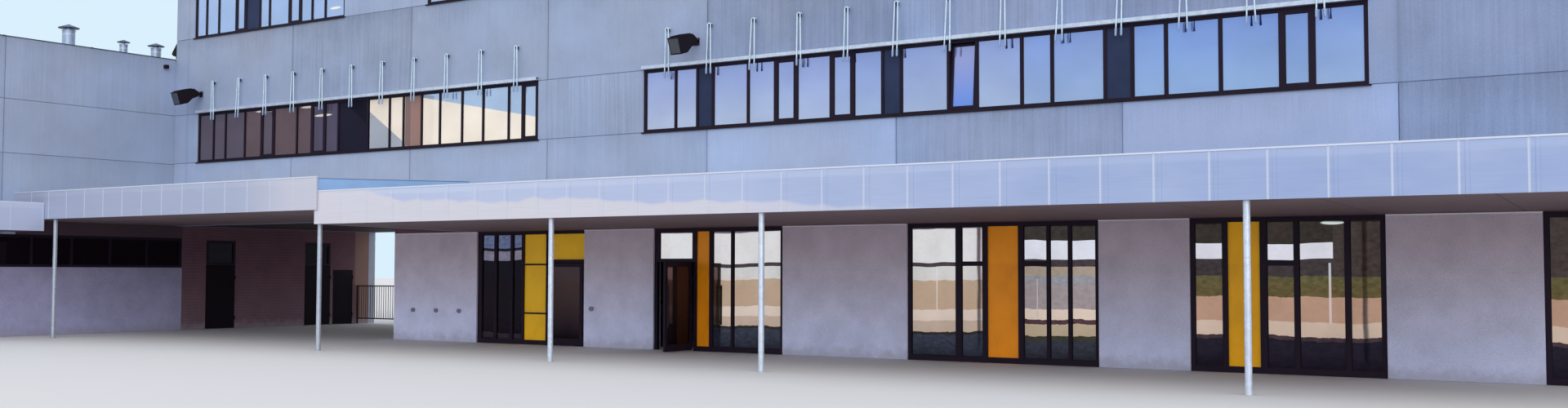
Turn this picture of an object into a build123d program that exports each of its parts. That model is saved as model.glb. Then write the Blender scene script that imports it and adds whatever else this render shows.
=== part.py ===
from build123d import *
import os

os.makedirs("parts", exist_ok=True)

# A three storey precast concrete school with a lower wing, at half of its real size.
# Lengths are millimetres of the half-size model, so 500 of them are one real metre.
# X runs along the main front, Y runs into the building and Z is up.

# Main block and wing
block_length = 21125.0
block_depth = 4200.0
block_height = 6475.0
wing_width = 4000.0
wing_projection = 5550.0
wing_height = 4435.0
wall_thickness = 150.0
slab_thickness = 150.0
ground_slab_thickness = 25.0
parapet_rise = 150.0
coping_height = 12.0
coping_overhang = 8.0

# Storeys
ground_head = 1505.0
passage_height = 1700.0
passage_board = 50.0
sill_height = 2710.0
strip_height = 800.0
storey_height = 2025.0
sill_above_floor = 435.0

# Concrete panels
panel_length = 2600.0
first_joint = 2925.0
joint_width = 10.0
joint_depth = 12.0

# Strip windows: where each starts, measured from the inner corner, and its bay widths
frame_width = 38.0
frame_depth = 40.0
frame_recess = 15.0
mullion_width = 32.0
sash_rim = 25.0
glass_thickness = 12.0
left_strip_start = 600.0
right_strip_start = 9738.0
upper_left_strip_start = 475.0
upper_middle_strip_start = 5840.0
upper_right_strip_start = 14940.0
left_strip_bays = [390, 304, 484, 408, 304, 540, 340, 306, 294, 642, 464, 288, 372, 364, 434, 402,
                   476, 252, 301]
right_strip_bays = [494, 332, 236, 516, 388, 301, 467, 298, 378, 236, 584, 340, 520, 340, 576, 286,
                    346, 540, 572, 298, 494]
short_strip_bays = [280, 315, 440, 245, 345, 235, 470, 270, 265, 300, 455]
left_strip_blanks = [9]
right_strip_blanks = [2, 9, 15]
short_strip_blanks = [4]
left_strip_sashes = [4, 7, 18]
right_strip_sashes = [5, 7, 19]
short_strip_sashes = [3, 7]
sill_lip = 20.0
tilted_bay = 11
tilt_angle = 4.8
tilt_gap = 3.0
tilted_rim = 28.0
sill_plate = 8.0

# Ground floor glazing units, measured from the inner corner
ground_block_start = 5245.0
unit_frame_depth = 50.0
unit_recess = 25.0
unit_frame_width = 45.0
unit_bottom_rail = 60.0
transom_height = 1060.0
transom_width = 40.0
door_head_height = 1085.0
unit_1 = (6870.0, 8785.0)
unit_2 = (9915.0, 11825.0)
unit_3 = (13463.0, 15665.0)
unit_4 = (16596.0, 18400.0)
unit_5 = (19670.0, 20875.0)

# Doors
door_gap = 7.0
door_bottom_gap = 12.0
leaf_thickness = 28.0
leaf_stile = 45.0
leaf_bottom_rail = 90.0
knuckle_radius = 6.0
knuckle_height = 30.0
hinge_clearance = 0.2
hinge_plate = 3.0
hinge_reach = 17.0
hinge_levels = [180.0, 860.0]
handle_reach = 35.0
handle_width = 14.0
handle_length = 500.0
handle_bottom = 300.0
lever_height = 500.0
lever_length = 60.0
lever_reach = 10.0
passage_door_width = 560.0
passage_door_head = 1060.0
store_door_width = 450.0
store_door_head = 990.0
passage_head = 1480.0

# Canopy
canopy_projection = 2550.0
canopy_bottom = 1540.0
canopy_top = 1950.0
soffit_fall = 30.0
soffit_thickness = 25.0
deck_thickness = 30.0
deck_drop = 60.0
deck_rise = 50.0
fascia_thickness = 20.0
fascia_trim_height = 14.0
fascia_trim_proud = 6.0
seam_spacing = 452.5
seam_width = 28.0
seam_proud = 3.0
raised_lift = 172.0
raised_end = 6740.0
raised_step = 5.0
cheek_start = 6675.0
cheek_thickness = 30.0
cheek_rise = 80.0
cheek_drop = 20.0
wing_canopy_width = 800.0
column_diameter = 57.0
column_setback = 60.0
column_places = [905.0, 6689.0, 10450.0, 13165.0, 17775.0]

# Galvanised rails and hangers over the strip windows
rail_height = 42.0
rail_depth = 50.0
rail_wall = 5.0
hanger_top = 4005.0
hanger_bottom = 3335.0
hanger_standoff = 52.0
arch_radius = 37.0
rod_width = 14.0
fork_width = 22.0
fork_length = 85.0
lug_width = 10.0
wall_plate_width = 36.0
wall_plate_height = 44.0
wall_plate_thickness = 4.0
left_hanger_start = 985.0
left_hanger_spacing = 660.0
left_hanger_count = 11
right_hanger_start = 10150.0
right_hanger_spacing = 643.0
right_hanger_count = 13
hanger_leans = [(-8.0, 14.0), (-16.0, 4.0), (-12.0, 12.0), (-2.0, 16.0), (-14.0, 2.0)]

# Where the rest follows from
corner_x = wing_width - (wing_width + block_length) / 2
front_y = (wing_projection - block_depth) / 2
second_sill = sill_height + storey_height
first_floor_level = sill_height - sill_above_floor
second_floor_level = first_floor_level + storey_height
roof_level = block_height - parapet_rise
wing_roof_level = wing_height - 210.0
left_strip_end = left_strip_start + sum(left_strip_bays)
right_strip_end = right_strip_start + sum(right_strip_bays)
upper_left_strip_end = upper_left_strip_start + sum(short_strip_bays)
upper_middle_strip_end = upper_middle_strip_start + sum(left_strip_bays)
upper_right_strip_end = upper_right_strip_start + sum(short_strip_bays)


def along(distance):
    return corner_x + distance


def deep(distance):
    return front_y + distance


def rectangle(left, right, bottom, top, mode=Mode.ADD):
    with Locations(((left + right) / 2, (bottom + top) / 2)):
        Rectangle(right - left, top - bottom, mode=mode)


def front_plane(distance):
    return Plane.XZ.offset(-deep(distance))


def side_plane(distance):
    return Plane.YZ.offset(along(distance))


def save(piece, name):
    piece.label = name
    export_step(piece, f"parts/{name}.step")


def bay_edges(start, bays):
    edges = [start]
    for width in bays:
        edges.append(edges[-1] + width)
    return edges


def strip_panes(start, bays, sashes, chosen):
    panes = []
    edges = bay_edges(start, bays)
    last = len(bays) - 1
    for i in chosen:
        rim = sash_rim if i in sashes else 0
        left_margin = (frame_width if i == 0 else mullion_width / 2) + rim
        right_margin = (frame_width if i == last else mullion_width / 2) + rim
        panes.append((edges[i] + left_margin, edges[i + 1] - right_margin, frame_width + rim))
    return panes


def fill_panes(strips, blank, mode=Mode.ADD, skip_tilted=False):
    for start, bays, blanks, sashes, sill in strips:
        chosen = blanks if blank else [i for i in range(len(bays)) if i not in blanks]
        if skip_tilted and (start, sill) == (right_strip_start, sill_height):
            chosen.remove(tilted_bay)
        for left, right, margin in strip_panes(start, bays, sashes, chosen):
            rectangle(along(left), along(right), sill + margin, sill + strip_height - margin, mode=mode)


# Floors
with BuildPart() as floor_slabs:
    with BuildSketch(Plane.XY):
        rectangle(along(ground_block_start + wall_thickness), along(block_length - wall_thickness),
                  deep(wall_thickness), deep(block_depth - wall_thickness))
    extrude(amount=ground_slab_thickness)
    for level in (first_floor_level, second_floor_level):
        with BuildSketch(Plane.XY.offset(level - slab_thickness)):
            rectangle(along(wall_thickness), along(block_length - wall_thickness),
                      deep(wall_thickness), deep(block_depth - wall_thickness))
        extrude(amount=slab_thickness)
save(floor_slabs.part, "floor_slabs")

with BuildPart() as roof_slab:
    with BuildSketch(Plane.XY.offset(roof_level - slab_thickness)):
        rectangle(along(wall_thickness), along(block_length - wall_thickness),
                  deep(wall_thickness), deep(block_depth - wall_thickness))
    extrude(amount=slab_thickness)
save(roof_slab.part, "roof_slab")

# Main front: three bands of concrete panels with piers between the strip windows
band_levels = [(passage_height, sill_height),
               (sill_height + strip_height, second_sill),
               (second_sill + strip_height, block_height - coping_height)]
joint_count = int((block_length - first_joint) / panel_length)
joint_places = [first_joint + i * panel_length for i in range(joint_count)]

with BuildPart() as front_wall_bands:
    with BuildSketch(front_plane(wall_thickness)):
        for bottom, top in band_levels:
            rectangle(along(0), along(block_length), bottom, top)
    extrude(amount=wall_thickness)
    with BuildSketch(front_plane(joint_depth)):
        for place in joint_places:
            rectangle(along(place), along(place + joint_width), passage_height, block_height)
    extrude(amount=joint_depth, mode=Mode.SUBTRACT)
save(front_wall_bands.part, "front_wall_bands")

pier_rows = [(sill_height, [(0.0, left_strip_start), (left_strip_end, right_strip_start),
                            (right_strip_end, block_length)]),
             (second_sill, [(0.0, upper_left_strip_start), (upper_left_strip_end, upper_middle_strip_start),
                            (upper_middle_strip_end, upper_right_strip_start),
                            (upper_right_strip_end, block_length)])]

with BuildPart() as front_wall_piers:
    with BuildSketch(front_plane(wall_thickness)):
        for bottom, row in pier_rows:
            for start, end in row:
                rectangle(along(start), along(end), bottom, bottom + strip_height)
    extrude(amount=wall_thickness)
    with BuildSketch(front_plane(joint_depth)):
        for bottom, row in pier_rows:
            rectangle(along(0), along(block_length), bottom, bottom + joint_width)
            top = bottom + strip_height
            rectangle(along(0), along(block_length), top - joint_width, top)
    extrude(amount=joint_depth, mode=Mode.SUBTRACT)
save(front_wall_piers.part, "front_wall_piers")

# Ground floor of the main front
ground_piers = [(ground_block_start, unit_1[0]), (unit_1[1], unit_2[0]), (unit_2[1], unit_3[0]),
                (unit_3[1], unit_4[0]), (unit_4[1], unit_5[0]), (unit_5[1], block_length)]

with BuildPart() as ground_floor_piers:
    with BuildSketch(front_plane(wall_thickness)):
        for start, end in ground_piers:
            rectangle(along(start), along(end), 0, ground_head)
    extrude(amount=wall_thickness)
save(ground_floor_piers.part, "ground_floor_piers")

# Back of the main block, which repeats the bands and strips
back_window_sill = 450.0
back_strips = [(900.0, 9600.0), (11000.0, 19900.0)]
back_ground_strips = [(5900.0, 9600.0), (11000.0, 19900.0)]
back_bay = 970.0
wing_front_bay = 640.0
wing_back_bay = 700.0

with BuildPart() as back_wall_bands:
    with BuildSketch(front_plane(block_depth)):
        rectangle(along(ground_block_start), along(block_length), 0, back_window_sill)
        for bottom, top in band_levels:
            rectangle(along(0), along(block_length), bottom, top)
    extrude(amount=wall_thickness)
    with BuildSketch(front_plane(block_depth)):
        for place in joint_places:
            rectangle(along(place), along(place + joint_width), passage_height, block_height)
    extrude(amount=joint_depth, mode=Mode.SUBTRACT)
save(back_wall_bands.part, "back_wall_bands")

back_pier_rows = [(sill_height, sill_height + strip_height,
                   [(0.0, back_strips[0][0]), (back_strips[0][1], back_strips[1][0]),
                    (back_strips[1][1], block_length)]),
                  (second_sill, second_sill + strip_height,
                   [(0.0, back_strips[0][0]), (back_strips[0][1], back_strips[1][0]),
                    (back_strips[1][1], block_length)]),
                  (back_window_sill, passage_height,
                   [(ground_block_start, back_ground_strips[0][0]),
                    (back_ground_strips[0][1], back_ground_strips[1][0]),
                    (back_ground_strips[1][1], block_length)])]

with BuildPart() as back_wall_piers:
    with BuildSketch(front_plane(block_depth)):
        for bottom, top, row in back_pier_rows:
            for start, end in row:
                rectangle(along(start), along(end), bottom, top)
    extrude(amount=wall_thickness)
save(back_wall_piers.part, "back_wall_piers")

# End walls and the passage
with BuildPart() as block_end_walls:
    with BuildSketch(side_plane(0)):
        rectangle(deep(wall_thickness), deep(block_depth - wall_thickness), passage_height,
                  block_height - coping_height)
    extrude(amount=wall_thickness)
    with BuildSketch(side_plane(0)):
        for level in (second_sill, second_sill + strip_height):
            rectangle(deep(wall_thickness), deep(block_depth - wall_thickness), level - joint_width, level)
    extrude(amount=joint_depth, mode=Mode.SUBTRACT)
    with BuildSketch(side_plane(block_length - wall_thickness)):
        rectangle(deep(wall_thickness), deep(block_depth - wall_thickness), 0, block_height - coping_height)
    extrude(amount=wall_thickness)
save(block_end_walls.part, "block_end_walls")

with BuildPart() as passage_right_wall:
    with BuildSketch(side_plane(ground_block_start)):
        rectangle(deep(wall_thickness), deep(block_depth - wall_thickness), 0,
                  first_floor_level - slab_thickness)
    extrude(amount=wall_thickness)
save(passage_right_wall.part, "passage_right_wall")

with BuildPart() as passage_ceiling:
    with BuildSketch(Plane.XY.offset(passage_height)):
        rectangle(along(wall_thickness), along(ground_block_start), deep(wall_thickness),
                  deep(block_depth - wall_thickness))
    extrude(amount=passage_board)
save(passage_ceiling.part, "passage_ceiling")

# Wing: low wall, strip window and passage piers below, panels above
wing_low_height = 1020.0
wing_window_head = 1505.0
wing_window_end = 175.0
door_1_start = 620.0
door_2_start = 2610.0
store_door_start = 3230.0
doorway_1 = (door_1_start, door_1_start + passage_door_width)
doorway_2 = (door_2_start, door_2_start + passage_door_width)
store_doorway = (store_door_start, store_door_start + store_door_width)

with BuildPart() as wing_low_wall:
    with BuildSketch(side_plane(-wall_thickness)):
        rectangle(deep(-wing_projection + wall_thickness), deep(wing_window_end), 0, wing_low_height)
    extrude(amount=wall_thickness)
save(wing_low_wall.part, "wing_low_wall")

with BuildPart() as passage_left_piers:
    with BuildSketch(side_plane(-wall_thickness)):
        rectangle(deep(wing_window_end), deep(doorway_1[0]), 0, passage_head)
        rectangle(deep(doorway_1[1]), deep(doorway_2[0]), 0, passage_head)
        rectangle(deep(doorway_2[1]), deep(store_doorway[0]), 0, passage_head)
        rectangle(deep(store_doorway[1]), deep(block_depth - wall_thickness), 0, passage_head)
    extrude(amount=wall_thickness)
save(passage_left_piers.part, "passage_left_piers")

with BuildPart() as door_lintels:
    with BuildSketch(front_plane(wall_thickness)):
        rectangle(along(ground_block_start), along(block_length), ground_head, passage_height)
    extrude(amount=wall_thickness)
    with BuildSketch(side_plane(-wall_thickness)):
        rectangle(deep(wing_window_end), deep(block_depth - wall_thickness), passage_head, passage_height)
    extrude(amount=wall_thickness)
save(door_lintels.part, "door_lintels")

with BuildPart() as store_door_lintel:
    with BuildSketch(side_plane(-wall_thickness)):
        rectangle(deep(store_doorway[0]), deep(store_doorway[1]), store_door_head, passage_head)
    extrude(amount=wall_thickness)
save(store_door_lintel.part, "store_door_lintel")

wing_joint_levels = [sill_height, sill_height + strip_height]

with BuildPart() as wing_front_wall:
    with BuildSketch(side_plane(-wall_thickness)):
        rectangle(deep(-wing_projection + wall_thickness), deep(wing_window_end), wing_window_head,
                  wing_height - coping_height)
        rectangle(deep(wing_window_end), deep(block_depth - wall_thickness), passage_height,
                  wing_height - coping_height)
    extrude(amount=wall_thickness)
    with BuildSketch(side_plane(-joint_depth)):
        for level in wing_joint_levels:
            rectangle(deep(-wing_projection), deep(0), level - joint_width, level)
        rectangle(deep(-wing_projection / 2), deep(-wing_projection / 2 + joint_width),
                  wing_window_head, wing_height)
    extrude(amount=joint_depth, mode=Mode.SUBTRACT)
save(wing_front_wall.part, "wing_front_wall")

with BuildPart() as wing_end_walls:
    for face in (-wing_projection + wall_thickness, block_depth):
        with BuildSketch(front_plane(face)):
            rectangle(along(-wing_width), along(0), 0, wing_height - coping_height)
        extrude(amount=wall_thickness)
    for face in (-wing_projection + joint_depth, block_depth):
        with BuildSketch(front_plane(face)):
            for level in [wing_window_head] + wing_joint_levels:
                rectangle(along(-wing_width), along(0), level - joint_width, level)
            rectangle(along(-wing_width / 2), along(-wing_width / 2 + joint_width),
                      wing_window_head, wing_height)
        extrude(amount=joint_depth, mode=Mode.SUBTRACT)
save(wing_end_walls.part, "wing_end_walls")

wing_back_strip = (-4900.0, 3500.0)

with BuildPart() as wing_back_wall_bands:
    with BuildSketch(side_plane(-wing_width)):
        for bottom, top in ((0, wing_low_height), (wing_window_head, sill_height),
                            (sill_height + strip_height, wing_height - coping_height)):
            rectangle(deep(-wing_projection + wall_thickness), deep(block_depth - wall_thickness),
                      bottom, top)
    extrude(amount=wall_thickness)
save(wing_back_wall_bands.part, "wing_back_wall_bands")

with BuildPart() as wing_back_wall_piers:
    with BuildSketch(side_plane(-wing_width)):
        for bottom, top in ((wing_low_height, wing_window_head), (sill_height, sill_height + strip_height)):
            rectangle(deep(-wing_projection + wall_thickness), deep(wing_back_strip[0]), bottom, top)
            rectangle(deep(wing_back_strip[1]), deep(block_depth - wall_thickness), bottom, top)
    extrude(amount=wall_thickness)
save(wing_back_wall_piers.part, "wing_back_wall_piers")

with BuildPart() as wing_floor_slabs:
    for level in (ground_slab_thickness, first_floor_level):
        thickness = ground_slab_thickness if level == ground_slab_thickness else slab_thickness
        with BuildSketch(Plane.XY.offset(level - thickness)):
            rectangle(along(-wing_width + wall_thickness), along(-wall_thickness),
                      deep(-wing_projection + wall_thickness), deep(block_depth - wall_thickness))
        extrude(amount=thickness)
save(wing_floor_slabs.part, "wing_floor_slabs")

with BuildPart() as wing_roof_slab:
    with BuildSketch(Plane.XY.offset(wing_roof_level - slab_thickness)):
        rectangle(along(-wing_width + wall_thickness), along(-wall_thickness),
                  deep(-wing_projection + wall_thickness), deep(block_depth - wall_thickness))
    extrude(amount=slab_thickness)
save(wing_roof_slab.part, "wing_roof_slab")

# Copings, in runs that stop short of each other at the corners
coping_width = wall_thickness + 2 * coping_overhang
coping_gap = 2.0

with BuildPart() as parapet_copings:
    with BuildSketch(Plane.XY.offset(block_height - coping_height)):
        for y in (deep(-coping_overhang), deep(block_depth - wall_thickness - coping_overhang)):
            rectangle(along(-coping_overhang), along(block_length + coping_overhang), y, y + coping_width)
        for x in (along(-coping_overhang), along(block_length - wall_thickness - coping_overhang)):
            rectangle(x, x + coping_width, deep(wall_thickness + coping_overhang + coping_gap),
                      deep(block_depth - wall_thickness - coping_overhang - coping_gap))
    extrude(amount=coping_height)
    with BuildSketch(Plane.XY.offset(wing_height - coping_height)):
        rectangle(along(-wall_thickness - coping_overhang), along(coping_overhang),
                  deep(-wing_projection - coping_overhang), deep(-coping_gap))
        rectangle(along(-wing_width - coping_overhang), along(-wing_width + wall_thickness + coping_overhang),
                  deep(-wing_projection - coping_overhang), deep(block_depth + coping_overhang))
        for y in (deep(-wing_projection - coping_overhang),
                  deep(block_depth - wall_thickness - coping_overhang)):
            rectangle(along(-wing_width + wall_thickness + coping_overhang + coping_gap),
                      along(-wall_thickness - coping_overhang - coping_gap), y, y + coping_width)
    extrude(amount=coping_height)
save(parapet_copings.part, "parapet_copings")

# Strip windows of the main front
left_pattern = (left_strip_bays, left_strip_blanks, left_strip_sashes)
right_pattern = (right_strip_bays, right_strip_blanks, right_strip_sashes)
short_pattern = (short_strip_bays, short_strip_blanks, short_strip_sashes)
front_strips = [(left_strip_start, *left_pattern, sill_height),
                (right_strip_start, *right_pattern, sill_height),
                (upper_left_strip_start, *short_pattern, second_sill),
                (upper_middle_strip_start, *left_pattern, second_sill),
                (upper_right_strip_start, *short_pattern, second_sill)]
glass_setback = frame_recess + (frame_depth - glass_thickness) / 2

with BuildPart() as strip_window_frames:
    with BuildSketch(front_plane(frame_recess + frame_depth)):
        for start, bays, blanks, sashes, sill in front_strips:
            rectangle(along(start), along(start + sum(bays)), sill, sill + strip_height)
        fill_panes(front_strips, blank=False, mode=Mode.SUBTRACT)
        fill_panes(front_strips, blank=True, mode=Mode.SUBTRACT)
    extrude(amount=frame_depth)
save(strip_window_frames.part, "strip_window_frames")

with BuildPart() as strip_window_glass:
    with BuildSketch(front_plane(glass_setback + glass_thickness)):
        fill_panes(front_strips, blank=False, skip_tilted=True)
    extrude(amount=glass_thickness)
save(strip_window_glass.part, "strip_window_glass")

with BuildPart() as strip_window_blanks:
    with BuildSketch(front_plane(glass_setback + glass_thickness)):
        fill_panes(front_strips, blank=True)
    extrude(amount=glass_thickness)
save(strip_window_blanks.part, "strip_window_blanks")

with BuildPart() as strip_window_sills:
    for start, bays, blanks, sashes, sill in front_strips:
        with BuildSketch(front_plane(frame_recess)):
            rectangle(along(start), along(start + sum(bays)), sill, sill + sill_plate)
        extrude(amount=frame_recess)
        with BuildSketch(front_plane(0)):
            rectangle(along(start - sill_lip), along(start + sum(bays) + sill_lip), sill - sill_plate,
                      sill + sill_plate)
        extrude(amount=sill_lip)
save(strip_window_sills.part, "strip_window_sills")

# The one sash left ajar leans in at its head, about the foot of its opening
tilted_start = right_strip_start + sum(right_strip_bays[:tilted_bay]) + mullion_width / 2 + tilt_gap
tilted_end = tilted_start + right_strip_bays[tilted_bay] - mullion_width - 2 * tilt_gap
tilted_foot = sill_height + frame_width
tilted_head = sill_height + strip_height - frame_width - tilt_gap
tilt_axis = Axis((0, deep(frame_recess + frame_depth), tilted_foot), (1, 0, 0))

with BuildPart() as upright_sash:
    with BuildSketch(front_plane(frame_recess + frame_depth)):
        rectangle(along(tilted_start), along(tilted_end), tilted_foot, tilted_head)
        rectangle(along(tilted_start + tilted_rim), along(tilted_end - tilted_rim), tilted_foot + tilted_rim,
                  tilted_head - tilted_rim, mode=Mode.SUBTRACT)
    extrude(amount=frame_depth)
save(upright_sash.part.rotate(tilt_axis, -tilt_angle), "tilted_sash")

with BuildPart() as upright_sash_glass:
    with BuildSketch(front_plane(glass_setback + glass_thickness)):
        rectangle(along(tilted_start + tilted_rim), along(tilted_end - tilted_rim), tilted_foot + tilted_rim,
                  tilted_head - tilted_rim)
    extrude(amount=glass_thickness)
save(upright_sash_glass.part.rotate(tilt_axis, -tilt_angle), "tilted_sash_glass")

# Back and wing strip windows
back_windows = [(strip, bottom, bottom + strip_height) for strip in back_strips
                for bottom in (sill_height, second_sill)]
back_windows += [(strip, back_window_sill, passage_height) for strip in back_ground_strips]


def even_panes(start, end, bay):
    count = max(1, round((end - start) / bay))
    width = (end - start) / count
    panes = []
    for i in range(count):
        left = start + i * width + (frame_width if i == 0 else mullion_width / 2)
        right = start + (i + 1) * width - (frame_width if i == count - 1 else mullion_width / 2)
        panes.append((left, right))
    return panes


with BuildPart() as back_window_frames:
    with BuildSketch(front_plane(block_depth - frame_recess)):
        for (start, end), bottom, top in back_windows:
            rectangle(along(start), along(end), bottom, top)
            for left, right in even_panes(start, end, back_bay):
                rectangle(along(left), along(right), bottom + frame_width, top - frame_width,
                          mode=Mode.SUBTRACT)
    extrude(amount=frame_depth)
save(back_window_frames.part, "back_window_frames")

with BuildPart() as back_window_glass:
    with BuildSketch(front_plane(block_depth - glass_setback)):
        for (start, end), bottom, top in back_windows:
            for left, right in even_panes(start, end, back_bay):
                rectangle(along(left), along(right), bottom + frame_width, top - frame_width)
    extrude(amount=glass_thickness)
save(back_window_glass.part, "back_window_glass")

wing_front_panes = even_panes(-wing_projection + wall_thickness, wing_window_end, wing_front_bay)

with BuildPart() as wing_window_frames:
    with BuildSketch(side_plane(-frame_recess - frame_depth)):
        rectangle(deep(-wing_projection + wall_thickness), deep(wing_window_end),
                  wing_low_height, wing_window_head)
        for left, right in wing_front_panes:
            rectangle(deep(left), deep(right), wing_low_height + frame_width,
                      wing_window_head - frame_width, mode=Mode.SUBTRACT)
    extrude(amount=frame_depth)
    with BuildSketch(side_plane(-wing_width + frame_recess)):
        for bottom, top in ((wing_low_height, wing_window_head), (sill_height, sill_height + strip_height)):
            rectangle(deep(wing_back_strip[0]), deep(wing_back_strip[1]), bottom, top)
            for left, right in even_panes(wing_back_strip[0], wing_back_strip[1], wing_back_bay):
                rectangle(deep(left), deep(right), bottom + frame_width, top - frame_width,
                          mode=Mode.SUBTRACT)
    extrude(amount=frame_depth)
save(wing_window_frames.part, "wing_window_frames")

with BuildPart() as wing_window_glass:
    with BuildSketch(side_plane(-glass_setback - glass_thickness)):
        for left, right in wing_front_panes:
            rectangle(deep(left), deep(right), wing_low_height + frame_width, wing_window_head - frame_width)
    extrude(amount=glass_thickness)
    with BuildSketch(side_plane(-wing_width + glass_setback)):
        for bottom, top in ((wing_low_height, wing_window_head), (sill_height, sill_height + strip_height)):
            for left, right in even_panes(wing_back_strip[0], wing_back_strip[1], wing_back_bay):
                rectangle(deep(left), deep(right), bottom + frame_width, top - frame_width)
    extrude(amount=glass_thickness)
save(wing_window_glass.part, "wing_window_glass")

# Ground floor glazing: fixed panes, infill panels and the door heads.
# Each entry is (left, right, bottom, top) of a hole in the frame.
full_bottom = unit_bottom_rail
full_top = ground_head - unit_frame_width
door_bay_1 = (8150.0, unit_1[1])
door_bay_2 = (unit_2[0], 10515.0)
yellow_split = 415.0
yellow_joint = 20.0

unit_1_glass = [(6945.0, 7168.0), (7220.0, 7468.0), (7513.0, 7670.0)]
unit_2_glass = [(10800.0, 11070.0), (11105.0, 11780.0)]
unit_3_glass = [(13505.0, 14042.0), (15128.0, 15326.0), (15364.0, 15622.0)]
unit_3_sashes = [(14114.0, 14358.0), (14832.0, 15090.0)]
unit_4_glass = [(16640.0, 16908.0), (17628.0, 18036.0), (18085.0, 18352.0)]
unit_4_sashes = [(17330.0, 17580.0)]
unit_5_glass = [(19715.0, 20160.0), (20210.0, 20830.0)]
unit_1_yellow = (7715.0, 8105.0)
unit_2_yellow = (10560.0, 10750.0)
unit_3_yellow = (14418.0, 14772.0)
unit_4_yellow = (16960.0, 17264.0)

fixed_units = [(unit_1[0], door_bay_1[0]), (door_bay_2[1], unit_2[1]), unit_3, unit_4, unit_5]
glass_holes = []
for left, right in unit_1_glass + unit_2_glass + unit_3_glass + unit_4_glass + unit_5_glass:
    glass_holes.append((left, right, full_bottom, full_top))
for left, right in unit_3_sashes + unit_4_sashes:
    glass_holes.append((left, right, full_bottom, transom_height - transom_width / 2))
    glass_holes.append((left, right, transom_height + transom_width / 2, full_top))
yellow_holes = [(unit_1_yellow[0], unit_1_yellow[1], full_bottom, yellow_split - yellow_joint / 2),
                (unit_1_yellow[0], unit_1_yellow[1], yellow_split + yellow_joint / 2,
                 transom_height - yellow_joint / 2),
                (unit_1_yellow[0], unit_1_yellow[1], transom_height + yellow_joint / 2, full_top),
                (unit_2_yellow[0], unit_2_yellow[1], full_bottom, full_top),
                (unit_3_yellow[0], unit_3_yellow[1], full_bottom, full_top),
                (unit_4_yellow[0], unit_4_yellow[1], full_bottom, full_top)]
head_near_margin = 20.0
head_jamb_margin = 70.0
door_head_glass = [(door_bay_2[0] + head_jamb_margin, door_bay_2[1] - head_near_margin,
                    door_head_height + transom_width, full_top)]
door_head_yellow = [(door_bay_1[0] + head_near_margin, door_bay_1[1] - head_near_margin,
                     door_head_height + transom_width, full_top)]

with BuildPart() as glazing_frames:
    with BuildSketch(front_plane(unit_recess + unit_frame_depth)):
        for left, right in fixed_units:
            rectangle(along(left), along(right), 0, ground_head)
        for left, right, bottom, top in glass_holes + yellow_holes:
            rectangle(along(left), along(right), bottom, top, mode=Mode.SUBTRACT)
    extrude(amount=unit_frame_depth)
save(glazing_frames.part, "glazing_frames")

with BuildPart() as door_head_frames:
    with BuildSketch(front_plane(unit_recess + unit_frame_depth)):
        for left, right in (door_bay_1, door_bay_2):
            rectangle(along(left), along(right), door_head_height, ground_head)
        for left, right, bottom, top in door_head_glass + door_head_yellow:
            rectangle(along(left), along(right), bottom, top, mode=Mode.SUBTRACT)
    extrude(amount=unit_frame_depth)
    with BuildSketch(side_plane(-unit_frame_depth)):
        for start, end in (doorway_1, doorway_2):
            rectangle(deep(start), deep(end), passage_door_head, passage_head)
            rectangle(deep(start + unit_frame_width), deep(end - unit_frame_width),
                      passage_door_head + unit_frame_width, passage_head - unit_frame_width,
                      mode=Mode.SUBTRACT)
    extrude(amount=unit_frame_depth)
save(door_head_frames.part, "door_head_frames")

jamb_width = 40.0

with BuildPart() as door_jambs:
    with BuildSketch(front_plane(unit_recess + unit_frame_depth)):
        rectangle(along(door_bay_1[1] - jamb_width), along(door_bay_1[1]), 0, door_head_height)
        rectangle(along(door_bay_2[0]), along(door_bay_2[0] + jamb_width), 0, door_head_height)
    extrude(amount=unit_frame_depth)
save(door_jambs.part, "door_jambs")

unit_glass_setback = unit_recess + (unit_frame_depth - glass_thickness) / 2

with BuildPart() as glazing_glass:
    with BuildSketch(front_plane(unit_glass_setback + glass_thickness)):
        for left, right, bottom, top in glass_holes + door_head_glass:
            rectangle(along(left), along(right), bottom, top)
    extrude(amount=glass_thickness)
    with BuildSketch(side_plane(-(unit_frame_depth + glass_thickness) / 2)):
        for start, end in (doorway_1, doorway_2):
            rectangle(deep(start + unit_frame_width), deep(end - unit_frame_width),
                      passage_door_head + unit_frame_width, passage_head - unit_frame_width)
    extrude(amount=glass_thickness)
save(glazing_glass.part, "glazing_glass")

with BuildPart() as yellow_panels:
    with BuildSketch(front_plane(unit_glass_setback + glass_thickness)):
        for left, right, bottom, top in yellow_holes + door_head_yellow:
            rectangle(along(left), along(right), bottom, top)
    extrude(amount=glass_thickness)
save(yellow_panels.part, "yellow_panels")

# Entrance leaves: a glazed frame with a pull bar, hung on two knuckle hinges on their right.
# Each is made shut and turned about its hinge to where it stands.
leaf_front = unit_recess
leaf_top = door_head_height - door_gap
glass_front = leaf_front + (leaf_thickness - glass_thickness) / 2
axis_front = leaf_front - knuckle_radius
axis_1 = door_bay_1[1] - jamb_width - door_gap / 2
axis_2 = door_bay_2[1] - door_gap / 2


def front_knuckles(axis, side, bottom, top):
    with BuildSketch(Plane.XY.offset(bottom)) as knuckle:
        with Locations((along(axis), deep(axis_front))):
            Circle(knuckle_radius)
        rectangle(along(min(axis, axis + side * hinge_reach)), along(max(axis, axis + side * hinge_reach)),
                  deep(leaf_front - hinge_plate), deep(leaf_front))
    extrude(knuckle.sketch, amount=top - bottom)


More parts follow.
